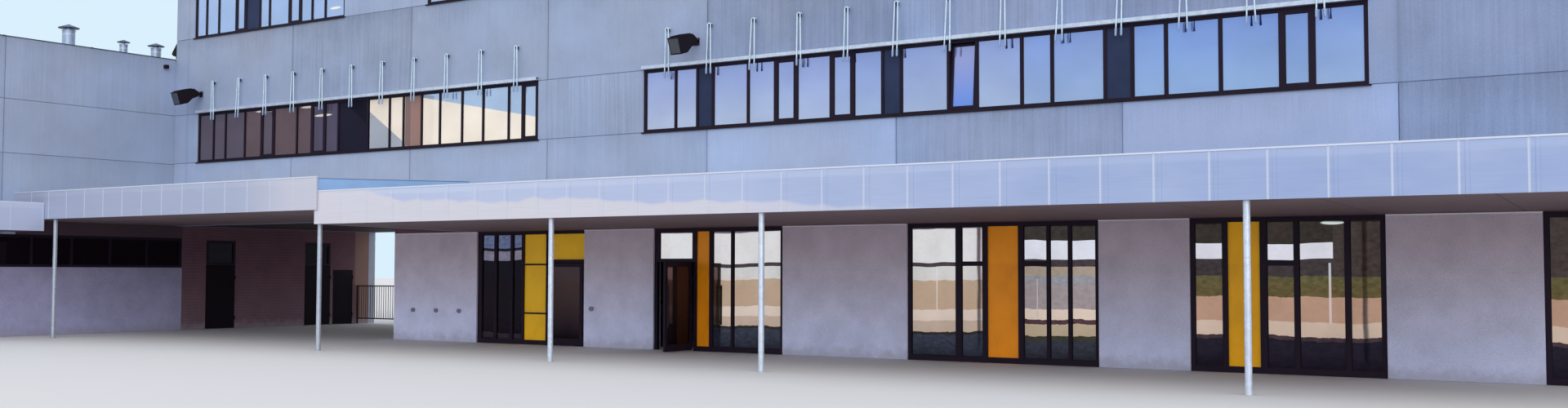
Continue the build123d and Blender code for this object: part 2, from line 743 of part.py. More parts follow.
def entrance_leaf(left, axis):
    right = axis - door_gap / 2
    bar_right = left + leaf_stile - handle_width
    with BuildPart() as leaf:
        with BuildSketch(front_plane(leaf_front + leaf_thickness)) as outline:
            rectangle(along(left), along(right), door_bottom_gap, leaf_top)
            rectangle(along(left + leaf_stile), along(right - leaf_stile),
                      leaf_bottom_rail, leaf_top - leaf_stile, mode=Mode.SUBTRACT)
        extrude(outline.sketch, amount=leaf_thickness)
        with BuildSketch(front_plane(leaf_front - handle_reach + handle_width)) as bar:
            rectangle(along(bar_right - handle_width), along(bar_right), handle_bottom,
                      handle_bottom + handle_length)
        extrude(bar.sketch, amount=handle_width)
        with BuildSketch(front_plane(leaf_front)) as stays:
            for height in (handle_bottom + 2 * handle_width,
                           handle_bottom + handle_length - 3 * handle_width):
                rectangle(along(bar_right - handle_width), along(bar_right), height, height + handle_width)
        extrude(stays.sketch, amount=handle_reach - handle_width)
        for level in hinge_levels:
            front_knuckles(axis, -1, level + hinge_clearance, level + knuckle_height)
    return leaf.part


def entrance_leaf_glass(left, axis):
    with BuildPart() as pane:
        with BuildSketch(front_plane(glass_front + glass_thickness)) as outline:
            rectangle(along(left + leaf_stile), along(axis - door_gap / 2 - leaf_stile), leaf_bottom_rail,
                      leaf_top - leaf_stile)
        extrude(outline.sketch, amount=glass_thickness)
    return pane.part


leaf_1_left = door_bay_1[0] + door_gap
leaf_2_left = door_bay_2[0] + jamb_width + door_gap
hinge_2 = Axis((along(axis_2), deep(axis_front), 0), (0, 0, 1))
save(entrance_leaf(leaf_1_left, axis_1), "entrance_door_1")
save(entrance_leaf_glass(leaf_1_left, axis_1), "entrance_door_1_glass")
save(entrance_leaf(leaf_2_left, axis_2).rotate(hinge_2, 90), "entrance_door_2")
save(entrance_leaf_glass(leaf_2_left, axis_2).rotate(hinge_2, 90), "entrance_door_2_glass")


# Passage doors and the store door: plain leaves with a lever, hung on their far sides
def side_knuckles(axis, side, bottom, top):
    with BuildSketch(Plane.XY.offset(bottom)) as knuckle:
        with Locations((along(knuckle_radius), deep(axis))):
            Circle(knuckle_radius)
        rectangle(along(0), along(hinge_plate), deep(min(axis, axis + side * hinge_reach)),
                  deep(max(axis, axis + side * hinge_reach)))
    extrude(knuckle.sketch, amount=top - bottom)


def passage_leaf(doorway, head):
    near = doorway[0] + door_gap
    far = doorway[1] - door_gap
    with BuildPart() as leaf:
        with BuildSketch(side_plane(-leaf_thickness)) as outline:
            rectangle(deep(near), deep(far), door_bottom_gap, head - door_gap)
        extrude(outline.sketch, amount=leaf_thickness)
        with BuildSketch(side_plane(0)) as lever:
            rectangle(deep(near + leaf_stile / 2), deep(near + leaf_stile / 2 + lever_length), lever_height,
                      lever_height + handle_width)
        extrude(lever.sketch, amount=lever_reach)
        for level in hinge_levels:
            side_knuckles(doorway[1] - door_gap / 2, -1, level + hinge_clearance, level + knuckle_height)
    return leaf.part


save(passage_leaf(doorway_1, passage_door_head), "passage_door_1")
save(passage_leaf(doorway_2, passage_door_head), "passage_door_2")
save(passage_leaf(store_doorway, store_door_head), "store_door")

with BuildPart() as door_hinges:
    for level in hinge_levels:
        for axis in (axis_1, axis_2):
            front_knuckles(axis, 1, level - knuckle_height, level)
        for doorway in (doorway_1, doorway_2, store_doorway):
            side_knuckles(doorway[1] - door_gap / 2, 1, level - knuckle_height, level)
save(door_hinges.part, "door_hinges")

# Canopies: fascias with seams, soffits, decks and the blue cheek between the two levels
first_main_seam = 7152.5
first_raised_seam = 425.0
main_seams = [first_main_seam + i * seam_spacing
              for i in range(int((block_length - first_main_seam) / seam_spacing) + 1)]
raised_seams = [first_raised_seam + i * seam_spacing
                for i in range(int((raised_end - first_raised_seam) / seam_spacing) + 1)]
wing_seam_start = -wing_projection + seam_spacing / 2
wing_seams = [wing_seam_start + i * seam_spacing
              for i in range(int((wing_projection - canopy_projection) / seam_spacing))]
trim_bottom = canopy_top - fascia_trim_height

with BuildPart() as canopy_fascia:
    with BuildSketch(front_plane(-canopy_projection + fascia_thickness)):
        rectangle(along(cheek_start), along(block_length), canopy_bottom, canopy_top)
    extrude(amount=fascia_thickness)
    with BuildSketch(front_plane(-canopy_projection)):
        for place in main_seams:
            rectangle(along(place - seam_width / 2), along(place + seam_width / 2),
                      canopy_bottom, trim_bottom)
    extrude(amount=seam_proud)
    with BuildSketch(front_plane(-canopy_projection)):
        rectangle(along(raised_end + raised_step), along(block_length), trim_bottom, canopy_top)
    extrude(amount=fascia_trim_proud)
save(canopy_fascia.part, "canopy_fascia")

raised_front = -canopy_projection - raised_step - fascia_thickness

with BuildPart() as raised_canopy_fascia:
    with BuildSketch(front_plane(raised_front + fascia_thickness)):
        rectangle(along(0), along(raised_end), canopy_bottom + raised_lift, canopy_top + raised_lift)
    extrude(amount=fascia_thickness)
    with BuildSketch(front_plane(raised_front)):
        for place in raised_seams:
            rectangle(along(place - seam_width / 2), along(place + seam_width / 2),
                      canopy_bottom + raised_lift, trim_bottom + raised_lift)
    extrude(amount=seam_proud)
    with BuildSketch(front_plane(raised_front)):
        rectangle(along(0), along(raised_end), trim_bottom + raised_lift, canopy_top + raised_lift)
    extrude(amount=fascia_trim_proud)
save(raised_canopy_fascia.part, "raised_canopy_fascia")

with BuildPart() as wing_canopy_fascia:
    with BuildSketch(side_plane(wing_canopy_width - fascia_thickness)):
        rectangle(deep(-wing_projection), deep(raised_front - fascia_trim_proud), canopy_bottom, canopy_top)
    extrude(amount=fascia_thickness)
    with BuildSketch(side_plane(wing_canopy_width)):
        for place in wing_seams:
            rectangle(deep(place - seam_width / 2), deep(place + seam_width / 2), canopy_bottom, trim_bottom)
    extrude(amount=seam_proud)
save(wing_canopy_fascia.part, "wing_canopy_fascia")


def sloped_plate(start, end, bottom_at_fascia, bottom_at_wall, thickness, front):
    with BuildSketch(side_plane(start)) as profile:
        with BuildLine():
            Polyline((deep(front), bottom_at_fascia), (deep(0), bottom_at_wall),
                     (deep(0), bottom_at_wall + thickness), (deep(front), bottom_at_fascia + thickness),
                     close=True)
        make_face()
    extrude(profile.sketch, amount=end - start)


inner_front = -canopy_projection + fascia_thickness
main_deck_bottom = canopy_top - deck_drop - deck_thickness

raised_inner_front = raised_front + fascia_thickness

with BuildPart() as canopy_soffits:
    sloped_plate(cheek_start + cheek_thickness, block_length, canopy_bottom, canopy_bottom - soffit_fall,
                 soffit_thickness, inner_front)
    sloped_plate(0, cheek_start, canopy_bottom + raised_lift, passage_height, soffit_thickness,
                 raised_inner_front)
save(canopy_soffits.part, "canopy_soffits")

with BuildPart() as canopy_decks:
    sloped_plate(cheek_start + cheek_thickness, block_length, main_deck_bottom, main_deck_bottom + deck_rise,
                 deck_thickness, inner_front)
    sloped_plate(0, cheek_start, main_deck_bottom + raised_lift, main_deck_bottom + raised_lift + cheek_rise,
                 deck_thickness, raised_inner_front)
save(canopy_decks.part, "canopy_decks")

with BuildPart() as canopy_cheek:
    with BuildSketch(side_plane(cheek_start)):
        with BuildLine():
            Polyline((deep(inner_front), canopy_bottom), (deep(0), canopy_bottom - soffit_fall),
                     (deep(0), canopy_top + raised_lift + cheek_rise),
                     (deep(inner_front), canopy_top + raised_lift - cheek_drop),
                     close=True)
        make_face()
    extrude(amount=cheek_thickness)
save(canopy_cheek.part, "canopy_cheek")

with BuildPart() as wing_canopy_boards:
    for level in (canopy_bottom, main_deck_bottom):
        with BuildSketch(Plane.XY.offset(level)):
            rectangle(along(0), along(wing_canopy_width - fascia_thickness), deep(-wing_projection),
                      deep(raised_front - fascia_trim_proud))
        extrude(amount=soffit_thickness)
save(wing_canopy_boards.part, "wing_canopy_boards")

# Slender round columns behind the fascias, each cut where the sloping soffit is lowest over it
column_line = -canopy_projection + fascia_thickness + column_setback


def soffit_level(distance, front, bottom_at_fascia, bottom_at_wall):
    return bottom_at_wall + (bottom_at_fascia - bottom_at_wall) * distance / front


with BuildPart() as canopy_columns:
    for place in column_places:
        inner_edge = column_line + column_diameter / 2
        if place < cheek_start:
            top = soffit_level(inner_edge, raised_inner_front, canopy_bottom + raised_lift, passage_height)
        else:
            top = soffit_level(inner_edge, inner_front, canopy_bottom, canopy_bottom - soffit_fall)
        with BuildSketch(Plane.XY):
            with Locations((along(place), deep(column_line))):
                Circle(column_diameter / 2)
        extrude(amount=top)
save(canopy_columns.part, "canopy_columns")

# Galvanised rail along each strip window's head, and the hairpin hangers that cross it
rail_bottom = sill_height + strip_height
rail_runs = [(left_strip_start, left_strip_end, rail_bottom),
             (right_strip_start, right_strip_end, rail_bottom),
             (upper_left_strip_start, upper_left_strip_end, rail_bottom + storey_height),
             (upper_middle_strip_start, upper_middle_strip_end, rail_bottom + storey_height),
             (upper_right_strip_start, upper_right_strip_end, rail_bottom + storey_height)]

with BuildPart() as sunshade_rails:
    for start, end, bottom in rail_runs:
        with BuildSketch(side_plane(start)):
            rectangle(deep(-rail_depth), deep(0), bottom, bottom + rail_height)
            rectangle(deep(-rail_depth + rail_wall), deep(0), bottom + rail_wall,
                      bottom + rail_height - rail_wall, mode=Mode.SUBTRACT)
        extrude(amount=end - start)
save(sunshade_rails.part, "sunshade_rails")

hanger_places = [(left_hanger_start + i * left_hanger_spacing, 0.0) for i in range(left_hanger_count)]
hanger_places += [(right_hanger_start + i * right_hanger_spacing, 0.0) for i in range(right_hanger_count)]
upper_hanger_offset = left_hanger_start - left_strip_start
for start, end, bottom in rail_runs[2:]:
    count = int((end - start - upper_hanger_offset) / left_hanger_spacing) + 1
    first = start + upper_hanger_offset
    hanger_places += [(first + i * left_hanger_spacing, storey_height) for i in range(count)]

arch_level = hanger_top - arch_radius
lug_places = [(along(place), hanger_top - rod_width / 2 + lift) for place, lift in hanger_places]
arch_places = [(along(place), arch_level + lift) for place, lift in hanger_places]
plate_places = [(along(place), hanger_top - wall_plate_height / 4 + lift) for place, lift in hanger_places]

with BuildPart() as sunshade_hangers:
    with BuildSketch(front_plane(-hanger_standoff)):
        with Locations(*arch_places):
            Circle(arch_radius)
        with Locations(*arch_places):
            Circle(arch_radius - rod_width, mode=Mode.SUBTRACT)
        with Locations(*[(x, z - arch_radius) for x, z in arch_places]):
            Rectangle(2 * arch_radius, 2 * arch_radius, mode=Mode.SUBTRACT)
        for i, (place, lift) in enumerate(hanger_places):
            foot = hanger_bottom + lift
            for side, lean in zip((-1, 1), hanger_leans[i % len(hanger_leans)]):
                head_x = along(place) + side * (arch_radius - rod_width / 2)
                foot_x = head_x + lean
                Polygon((foot_x - rod_width / 2, foot), (foot_x + rod_width / 2, foot),
                        (head_x + rod_width / 2, arch_level + lift),
                        (head_x - rod_width / 2, arch_level + lift), align=None)
                rectangle(foot_x - fork_width / 2, foot_x + fork_width / 2, foot, foot + fork_length)
    extrude(amount=rod_width)
    with BuildSketch(front_plane(0)):
        with Locations(*lug_places):
            Rectangle(lug_width, lug_width)
    extrude(amount=hanger_standoff + rod_width)
    with BuildSketch(front_plane(0)):
        with Locations(*plate_places):
            Rectangle(wall_plate_width, wall_plate_height)
    extrude(amount=wall_plate_thickness)
save(sunshade_hangers.part, "sunshade_hangers")

# Floodlights: hooded heads that reach out from the wall on short arms, and small ones on the left walls.
# The profile is (depth from the wall, height from the arm).
floodlight_places = [(10564.0, 3794.0), (679.0, 3816.0)]
flood_profile = [(-490.0, -18.0), (-190.0, 68.0), (-100.0, 26.0), (-100.0, -45.0), (-210.0, -95.0), (-290.0, -175.0),
                 (-420.0, -215.0)]
flood_width = 160.0
flood_arm = 34.0
flood_arm_reach = 110.0
flood_plate = 90.0
flood_plate_thickness = 12.0
small_flood_place = 20.0
small_flood_width = 90.0
small_flood_profile = [(0.0, 4745.0), (-150.0, 4572.0), (-165.0, 4540.0), (-120.0, 4505.0), (-60.0, 4500.0),
                       (-50.0, 4455.0), (0.0, 4455.0)]
wing_lamp_place = -230.0
wing_lamp_height = 4260.0
wing_lamp_width = 60.0

with BuildPart() as floodlights:
    for place, height in floodlight_places:
        with BuildSketch(side_plane(place - flood_width / 2)):
            Polygon(*[(deep(y), height + z) for y, z in flood_profile], align=None)
        extrude(amount=flood_width)
        with BuildSketch(side_plane(place - flood_arm / 2)):
            rectangle(deep(-flood_arm_reach), deep(0), height - flood_arm / 2, height + flood_arm / 2)
        extrude(amount=flood_arm)
        with BuildSketch(front_plane(0)):
            rectangle(along(place - flood_plate / 2), along(place + flood_plate / 2), height - flood_plate / 2,
                      height + flood_plate / 2)
        extrude(amount=flood_plate_thickness)
    with BuildSketch(front_plane(small_flood_place + small_flood_width)):
        Polygon(*[(along(x), z) for x, z in small_flood_profile], align=None)
    extrude(amount=small_flood_width)
    with BuildSketch(side_plane(0)):
        rectangle(deep(wing_lamp_place), deep(wing_lamp_place + wing_lamp_width), wing_lamp_height,
                  wing_lamp_height + wing_lamp_width)
    extrude(amount=wing_lamp_width)
save(floodlights.part, "floodlights")

# Round fittings on the rendered piers
fitting_places = [(5650.0, 425.0), (6105.0, 425.0), (6550.0, 425.0), (8920.0, 490.0)]
fitting_radius = 30.0
fitting_depth = 26.0

with BuildPart() as wall_fittings:
    with BuildSketch(front_plane(0)):
        for place, height in fitting_places:
            with Locations((along(place), height)):
                Circle(fitting_radius)
    extrude(amount=fitting_depth)
save(wall_fittings.part, "wall_fittings")

# Roof cowls on the wing: a pipe, a collar and a low cone over it, each turned about its own axis.
# Each entry is (place along the front, depth, pipe diameter, height of the pipe's head over the roof).
cowl_places = [(-1500.0, -960.0, 195.0, 725.0), (-1500.0, 0.0, 125.0, 625.0), (-1500.0, 600.0, 165.0, 640.0)]
cap_ratio = 1.65
cap_slope = 0.36
cap_rim = 8.0
cap_top = 10.0
throat_height = 34.0
throat_ratio = 0.4
collar_proud = 8.0
collar_height = 12.0

with BuildPart() as roof_cowls:
    for x, y, diameter, rise in cowl_places:
        radius = diameter / 2
        cap = radius * cap_ratio
        head = wing_roof_level + rise
        throat = head - throat_height
        peak = head + cap_rim + cap * cap_slope
        with BuildSketch(Plane((along(x), deep(y), 0), x_dir=(1, 0, 0), z_dir=(0, -1, 0))) as outline:
            with BuildLine():
                Polyline((0, wing_roof_level), (radius, wing_roof_level), (radius, throat - collar_height),
                         (radius + collar_proud, throat - collar_height), (radius + collar_proud, throat),
                         (radius * throat_ratio, throat), (radius * throat_ratio, head), (cap, head),
                         (cap, head + cap_rim), (cap_top, peak), (0, peak), close=True)
            make_face()
        revolve(outline.sketch, axis=Axis((along(x), deep(y), 0), (0, 0, 1)))
save(roof_cowls.part, "roof_cowls")

# Fence of black bars across the passage, near its far end
fence_height = 710.0
fence_rail = 20.0
fence_bar = 8.0
fence_bar_spacing = 60.0
fence_post = 30.0
fence_foot = 90.0
fence_line = block_depth - 410.0
fence_posts = [fence_post / 2 + i * (ground_block_start - fence_post) / 3 for i in range(4)]

with BuildPart() as passage_fence:
    with BuildSketch(front_plane(fence_line + fence_bar / 2)):
        rectangle(along(0), along(ground_block_start), fence_foot, fence_foot + fence_rail)
        rectangle(along(0), along(ground_block_start), fence_height - fence_rail, fence_height)
        for i in range(1, int(ground_block_start / fence_bar_spacing)):
            place = i * fence_bar_spacing
            rectangle(along(place - fence_bar / 2), along(place + fence_bar / 2), fence_foot, fence_height)
        for place in fence_posts:
            rectangle(along(place - fence_post / 2), along(place + fence_post / 2), 0, fence_height)
    extrude(amount=fence_bar)
save(passage_fence.part, "passage_fence")
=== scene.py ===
import math
import random
import bmesh
import bpy
from mathutils import Euler, Matrix, Vector


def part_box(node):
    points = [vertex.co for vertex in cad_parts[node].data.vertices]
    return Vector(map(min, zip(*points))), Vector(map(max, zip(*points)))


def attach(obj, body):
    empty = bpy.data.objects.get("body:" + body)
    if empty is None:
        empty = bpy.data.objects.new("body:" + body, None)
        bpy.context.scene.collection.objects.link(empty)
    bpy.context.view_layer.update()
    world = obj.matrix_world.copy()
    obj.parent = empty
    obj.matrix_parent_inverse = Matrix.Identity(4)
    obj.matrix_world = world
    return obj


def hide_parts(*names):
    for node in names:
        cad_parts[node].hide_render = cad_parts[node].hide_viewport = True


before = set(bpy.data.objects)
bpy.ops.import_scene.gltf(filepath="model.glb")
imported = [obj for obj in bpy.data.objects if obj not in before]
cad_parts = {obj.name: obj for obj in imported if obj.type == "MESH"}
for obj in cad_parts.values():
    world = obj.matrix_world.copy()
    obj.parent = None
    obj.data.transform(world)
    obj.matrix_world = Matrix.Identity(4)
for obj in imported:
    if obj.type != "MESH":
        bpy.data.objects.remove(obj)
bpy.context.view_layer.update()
print("frame loaded")

# the inner corner between the main front and the wing, in metres of the half-size model
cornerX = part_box("front_wall_bands")[0][0]
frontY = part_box("front_wall_bands")[0][1]


def at(x, y, z):
    return Vector((cornerX + x, frontY + y, z))


# camera
cameraValues = {
    "x": 20.6, "y": -13.69, "z": 0.9585,  # from the inner corner
    "yaw": 0.569, "pitch": 0.043, "roll": 0.002,
    "lens": 31.826, "sensor": 36.0, "shiftY": 0.0058,
    "near": 0.05, "far": 400.0,
}


def makeCamera(v):
    camData = bpy.data.cameras.new("photoCamera")
    camData.sensor_width = v["sensor"]
    camData.sensor_fit = 'HORIZONTAL'
    camData.lens = v["lens"]
    camData.shift_y = v["shiftY"]
    camData.clip_start = v["near"]
    camData.clip_end = v["far"]
    cam = bpy.data.objects.new("photoCamera", camData)
    bpy.context.scene.collection.objects.link(cam)
    turn = Matrix.Rotation(v["yaw"], 4, 'Z') @ Matrix.Rotation(math.pi / 2 + v["pitch"], 4, 'X')
    turn = turn @ Matrix.Rotation(v["roll"], 4, 'Z')
    cam.matrix_world = Matrix.Translation(at(v["x"], v["y"], v["z"])) @ turn
    bpy.context.scene.camera = cam


makeCamera(cameraValues)
print("camera placed")


# a number or colour of a node material: a sum or comparison on it adds a Math node
class Value:
    def __init__(self, mat, socket):
        self.mat = mat
        self.socket = socket

    def __add__(self, other):
        return calc('ADD', self, other)

    def __sub__(self, other):
        return calc('SUBTRACT', self, other)

    def __rsub__(self, other):
        return calc('SUBTRACT', other, self)

    def __mul__(self, other):
        return calc('MULTIPLY', self, other)

    def __truediv__(self, other):
        return calc('DIVIDE', self, other)

    def __pow__(self, other):
        return calc('POWER', self, other)

    def __gt__(self, other):
        return calc('GREATER_THAN', self, other)

    def __lt__(self, other):
        return calc('LESS_THAN', self, other)

    def __abs__(self):
        return calc('ABSOLUTE', self)


def fillInputs(mat, node, inputs):
    for key, value in inputs.items():
        if isinstance(value, Value):
            mat.node_tree.links.new(value.socket, node.inputs[key])
        elif value is not None:
            node.inputs[key].default_value = value


def addNode(mat, kind, settings, inputs):
    node = mat.node_tree.nodes.new(kind)
    for key, value in settings.items():
        setattr(node, key, value)
    fillInputs(mat, node, inputs)
    return node


def result(kind, settings, inputs, output=0):
    # what a new node gives out, in the material that its inputs come from
    mat = next(value.mat for value in inputs.values() if isinstance(value, Value))
    return Value(mat, addNode(mat, kind, settings, inputs).outputs[output])


def calc(operation, a, b=None):
    return result("ShaderNodeMath", {"operation": operation}, {0: a, 1: b})


def rgba(colour):
    return colour if isinstance(colour, Value) or colour is None else (*colour, 1.0)


def shaderOf(mat):
    return mat.node_tree.nodes["Principled BSDF"]


def newMaterial(name, roughness, metallic=0.0, specular=0.4):
    mat = bpy.data.materials.new(name)
    mat.use_nodes = True
    fillInputs(mat, shaderOf(mat), {"Roughness": roughness, "Metallic": metallic,
                                    "Specular IOR Level": specular})
    return mat


def finishMaterial(mat, colour, roughness=None, normal=None, metallic=None):
    fillInputs(mat, shaderOf(mat), {"Base Color": rgba(colour), "Roughness": roughness, "Normal": normal,
                                    "Metallic": metallic})
    return mat


def coatOf(mat):
    # the colour that a finished material has so far
    return Value(mat, shaderOf(mat).inputs["Base Color"].links[0].from_socket)


def objectPoint(mat):
    return Value(mat, addNode(mat, "ShaderNodeTexCoord", {}, {}).outputs["Object"])


def splitUp(vector):
    # x, y and z of a place, or red, green and blue of a colour
    node = addNode(vector.mat, "ShaderNodeSeparateXYZ", {}, {0: vector})
    return [Value(vector.mat, socket) for socket in node.outputs]


def frontPlace(point):
    # how far along the front from the inner corner, and how high
    parts = splitUp(point)
    return parts[0] - cornerX, parts[2]


def noise(point, scale, detail=2.0, roughness=0.5, distortion=0.0):
    # a scale of three numbers stretches the pattern
    if isinstance(scale, tuple):
        point = result("ShaderNodeMapping", {}, {"Vector": point, "Scale": scale})
        scale = 1.0
    return result("ShaderNodeTexNoise", {}, {"Vector": point, "Scale": scale, "Detail": detail,
                                             "Roughness": roughness, "Distortion": distortion})


def cells(point, scale, output="Distance"):
    return result("ShaderNodeTexVoronoi", {}, {"Vector": point, "Scale": scale}, output)


def remap(value, fromLow, fromHigh, toLow=0.0, toHigh=1.0, kind='LINEAR'):
    return result("ShaderNodeMapRange", {"interpolation_type": kind}, {
        "Value": value, "From Min": fromLow, "From Max": fromHigh, "To Min": toLow, "To Max": toHigh})


def smooth(value, fromLow, fromHigh, toLow=0.0, toHigh=1.0):
    return remap(value, fromLow, fromHigh, toLow, toHigh, 'SMOOTHSTEP')


def spread(pattern, low, high):
    # a noise lies mostly between 0.3 and 0.7
    return remap(pattern, 0.3, 0.7, low, high)


def swing(pattern, reach):
    return spread(pattern, -reach, reach)


def toJoint(value, spacing):
    # how far the nearest joint is, in spacings
    return calc('PINGPONG', value / spacing, 0.5)


def within(value, low, high):
    return abs(value - (low + high) / 2) < (high - low) / 2


def mixColour(factor, a, b, blend='MIX'):
    settings = {"data_type": 'RGBA', "blend_type": blend}
    return result("ShaderNodeMix", settings, {0: factor, 6: rgba(a), 7: rgba(b)}, 2)


def scaled(colour, factor):
    return result("ShaderNodeVectorMath", {"operation": 'SCALE'}, {0: colour, 3: factor})


def steps(value, stops, constant=True):
    node = addNode(value.mat, "ShaderNodeValToRGB", {}, {0: value})
    node.color_ramp.interpolation = 'CONSTANT' if constant else 'LINEAR'
    for i, (place, colour) in enumerate(stops):
        stop = node.color_ramp.elements[i] if i < 2 else node.color_ramp.elements.new(place)
        stop.position = place
        stop.color = rgba(colour)
    return Value(value.mat, node.outputs[0])


def numberSteps(value, stops, constant=True):
    return splitUp(steps(value, [(place, (number, 0, 0)) for place, number in stops], constant))[0]


def bumped(height, strength, distance):
    return result("ShaderNodeBump", {}, {"Height": height, "Strength": strength, "Distance": distance})


def blend(a, b, share):
    return tuple(p + (q - p) * share for p, q in zip(a, b))


# precast concrete: a tone and an amount of board streaks for each panel
# the blue colours, on the front and the wing's front, are painted shade from a blue sky; greyConcrete is the
# same concrete without it, for the back, the ends and the wing's sides
concreteLook = {
    "colour": (0.31, 0.384, 0.548), "farColour": (0.272, 0.36, 0.59), "fade": (7.0, 17.0),
    "warm": (1.0, 0.93, 0.87), "pore": (0.12, 0.13, 0.19),
    "toneRange": (0.7, 1.5), "streakDepth": 0.13, "cloudDepth": 0.09, "grainDepth": 0.1,
    "jointShade": 0.1, "dripDepth": 0.16, "bump": 0.25,
}
panelLength = 2.6
firstJoint = 2.925
wingPanel = 2.775
greyConcrete = (0.345, 0.385, 0.485)
# a brown in sunlight: painted sunlight where the passage opens at the back, and a painted reflection in the
# left strip's glass
sunlitBrown = (0.27, 0.17, 0.15)
# columns of panels from the inner corner to the party wall, each (tone, streaks)
panelBands = [
    (0.0, [(0.86, 0.15), (0.8, 0.2), (0.74, 0.25), (0.66, 0.55), (0.92, 0.05), (0.57, 1.0), (0.9, 0.1),
           (0.36, 0.8)]),
    (2.71, [(0.52, 0.15), (0.44, 0.35), (0.46, 0.2), (0.45, 1.0), (0.48, 0.2), (0.41, 0.6), (0.44, 0.1),
            (0.3, 0.45)]),
    (3.51, [(0.41, 0.1), (0.3, 0.8), (0.42, 0.1), (0.44, 0.12), (0.17, 0.75), (0.35, 0.9), (0.22, 0.7),
            (0.16, 0.2)]),
    (4.735, [(0.45, 0.25), (0.48, 0.4), (0.46, 0.15), (0.42, 0.8), (0.4, 0.15), (0.47, 0.6), (0.41, 0.2),
             (0.38, 0.7)]),
    (5.535, [(0.48, 0.2), (0.42, 0.1), (0.46, 0.7), (0.4, 0.25), (0.45, 0.15), (0.38, 0.9), (0.43, 0.3),
             (0.41, 0.2)]),
]
wingBands = [
    (0.0, [(0.62, 0.1), (0.68, 0.35), (0.62, 0.15)]),
    (2.71, [(0.64, 0.3), (0.58, 0.12), (0.62, 0.4)]),
    (3.51, [(0.52, 0.2), (0.56, 0.55), (0.54, 0.15)]),
]
endBands = [
    (0.0, [(0.5, 0.3), (0.58, 0.1), (0.46, 0.6)]),
    (2.71, [(0.55, 0.1), (0.47, 0.5), (0.56, 0.2)]),
    (4.735, [(0.48, 0.4), (0.56, 0.2), (0.5, 0.7)]),
]
# sills and copings that water drips from
frontSills = (2.71, 4.735, 6.463)
wingSills = (2.71, 4.423)
# boxes of painted light on the walls, as low and high corners from the inner corner
# painted shade on the wing's wall below its canopy
wingShadeBand = {"low": (-1.0, -2.56, 1.4), "high": (1.0, 0.5, 1.8), "colour": (0.085, 0.055, 0.07)}
# painted sunlight on the pier end where the passage opens at the back
backSunlitPatch = {"low": (-0.02, 3.9, -1.0), "high": (0.02, 4.195, 1.72), "colour": sunlitBrown}


def concreteMaterial(name, axis, start, spacing, bands, dripLevels, plain=None, paintedLight=None):
    v = concreteLook
    mat = newMaterial(name, 0.85, specular=0.25)
    point = objectPoint(mat)
    parts = splitUp(point)
    x, z = parts[0], parts[2]
    distance = parts[axis] - start
    count = len(bands[0][1])
    place = (calc('FLOOR', distance / spacing) + 1.5) / count
    tones = None
    for level, row in bands:
        ramp = steps(place, [(i / count, (tone, streaks, 0.0)) for i, (tone, streaks) in enumerate(row)])
        tones = mixColour(z > level, tones, ramp) if tones else ramp
    tone, streaks = splitUp(tones)[:2]
    base = mixColour(smooth(x, *(cornerX + limit for limit in v["fade"])), plain or v["colour"],
                     plain or v["farColour"])
    # fine and broad board marks run down the panels
    fine = noise(point, (62.0, 62.0, 0.8), 2.0, 0.6)
    broad = noise(point, (17.0, 17.0, 0.45), 3.0, 0.6, 0.4)
    marks = remap(fine * 0.55 + broad * 0.45, 0.34, 0.66, -1.0, 1.0) * ((streaks + 0.12) * v["streakDepth"])
    clouds = swing(noise(point, 1.4, 4.0, 0.6), v["cloudDepth"])
    grain = noise(point, 130.0, 2.0, 0.7)
    jointShade = smooth(toJoint(distance, spacing), 0.0, 0.02, -v["jointShade"], 0.0)
    # drips run down from each sill and coping, longest where the noise is high
    reach = remap(fine, 0.35, 0.75, 0.08, 0.75)
    drips = None
    for level in dripLevels:
        depth = level - z
        drip = remap(depth / reach, 0.0, 1.0, 1.0, 0.0) * (depth > 0.0)
        drips = calc('MAXIMUM', drips, drip) if drips else drip
    total = remap(tone, 0.0, 1.0, *v["toneRange"]) + marks + clouds + swing(grain, v["grainDepth"])
    total = total + jointShade - drips * v["dripDepth"]
    warmer = mixColour(1.0, base, v["warm"], 'MULTIPLY')
    colour = scaled(mixColour(remap(noise(point, 0.55), 0.35, 0.65), base, warmer), total)
    # paint the light of the box over the concrete
    if paintedLight:
        inside = None
        for part, zero, low, high in zip(parts, (cornerX, frontY, 0.0), paintedLight["low"], paintedLight["high"]):
            between = within(part, zero + low, zero + high)
            inside = inside * between if inside else between
        colour = mixColour(inside, colour, scaled(paintedLight["colour"], spread(grain, 0.85, 1.15)))
    pores = remap(cells(point, 34.0), 0.0, 0.12)
    colour = mixColour(1.0 - pores, colour, v["pore"])
    height = grain * 0.4 + pores * 0.5 + marks * 2.0
    return finishMaterial(mat, colour, spread(grain, 0.78, 0.92), bumped(height, v["bump"], 0.004))


# each wall: axis along it, first joint, spacing, bands, sills
frontRun = (0, cornerX + firstJoint, panelLength, panelBands, frontSills)
wingRun = (1, frontY - wingPanel, wingPanel, wingBands, wingSills)
wingEndRun = (0, cornerX - 2.0, 2.0, [(level, row[:2]) for level, row in wingBands], wingSills)
mainConcrete = concreteMaterial("panelConcreteFront", *frontRun)
wingConcrete = concreteMaterial("panelConcreteWing", *wingRun, paintedLight=wingShadeBand)
backConcrete = concreteMaterial("panelConcreteBack", *frontRun, greyConcrete, backSunlitPatch)
endConcrete = concreteMaterial("panelConcreteEnds", 1, frontY, 1.4, endBands, frontSills, greyConcrete)
wingBackConcrete = concreteMaterial("panelConcreteSide", *wingEndRun, greyConcrete)
wingSideConcrete = concreteMaterial("panelConcreteWingSide", *wingRun, greyConcrete)
print("concrete ready")

# speckled render on the piers, lighter and bluer towards the foot, with painted shade darkening the head
# below the canopy, and a darker version in the passage, painted for its deep shade
renderLook = {
    "foot": (0.61, 0.65, 0.89), "head": (0.56, 0.48, 0.56), "splash": (0.3, 0.285, 0.33),
    "rise": (0.1, 1.35), "speckle": 0.16, "cloud": 0.1, "bump": 0.5,
    "passageBack": (3.7, 3.76),  # where the passage opens at the back, from the front
}


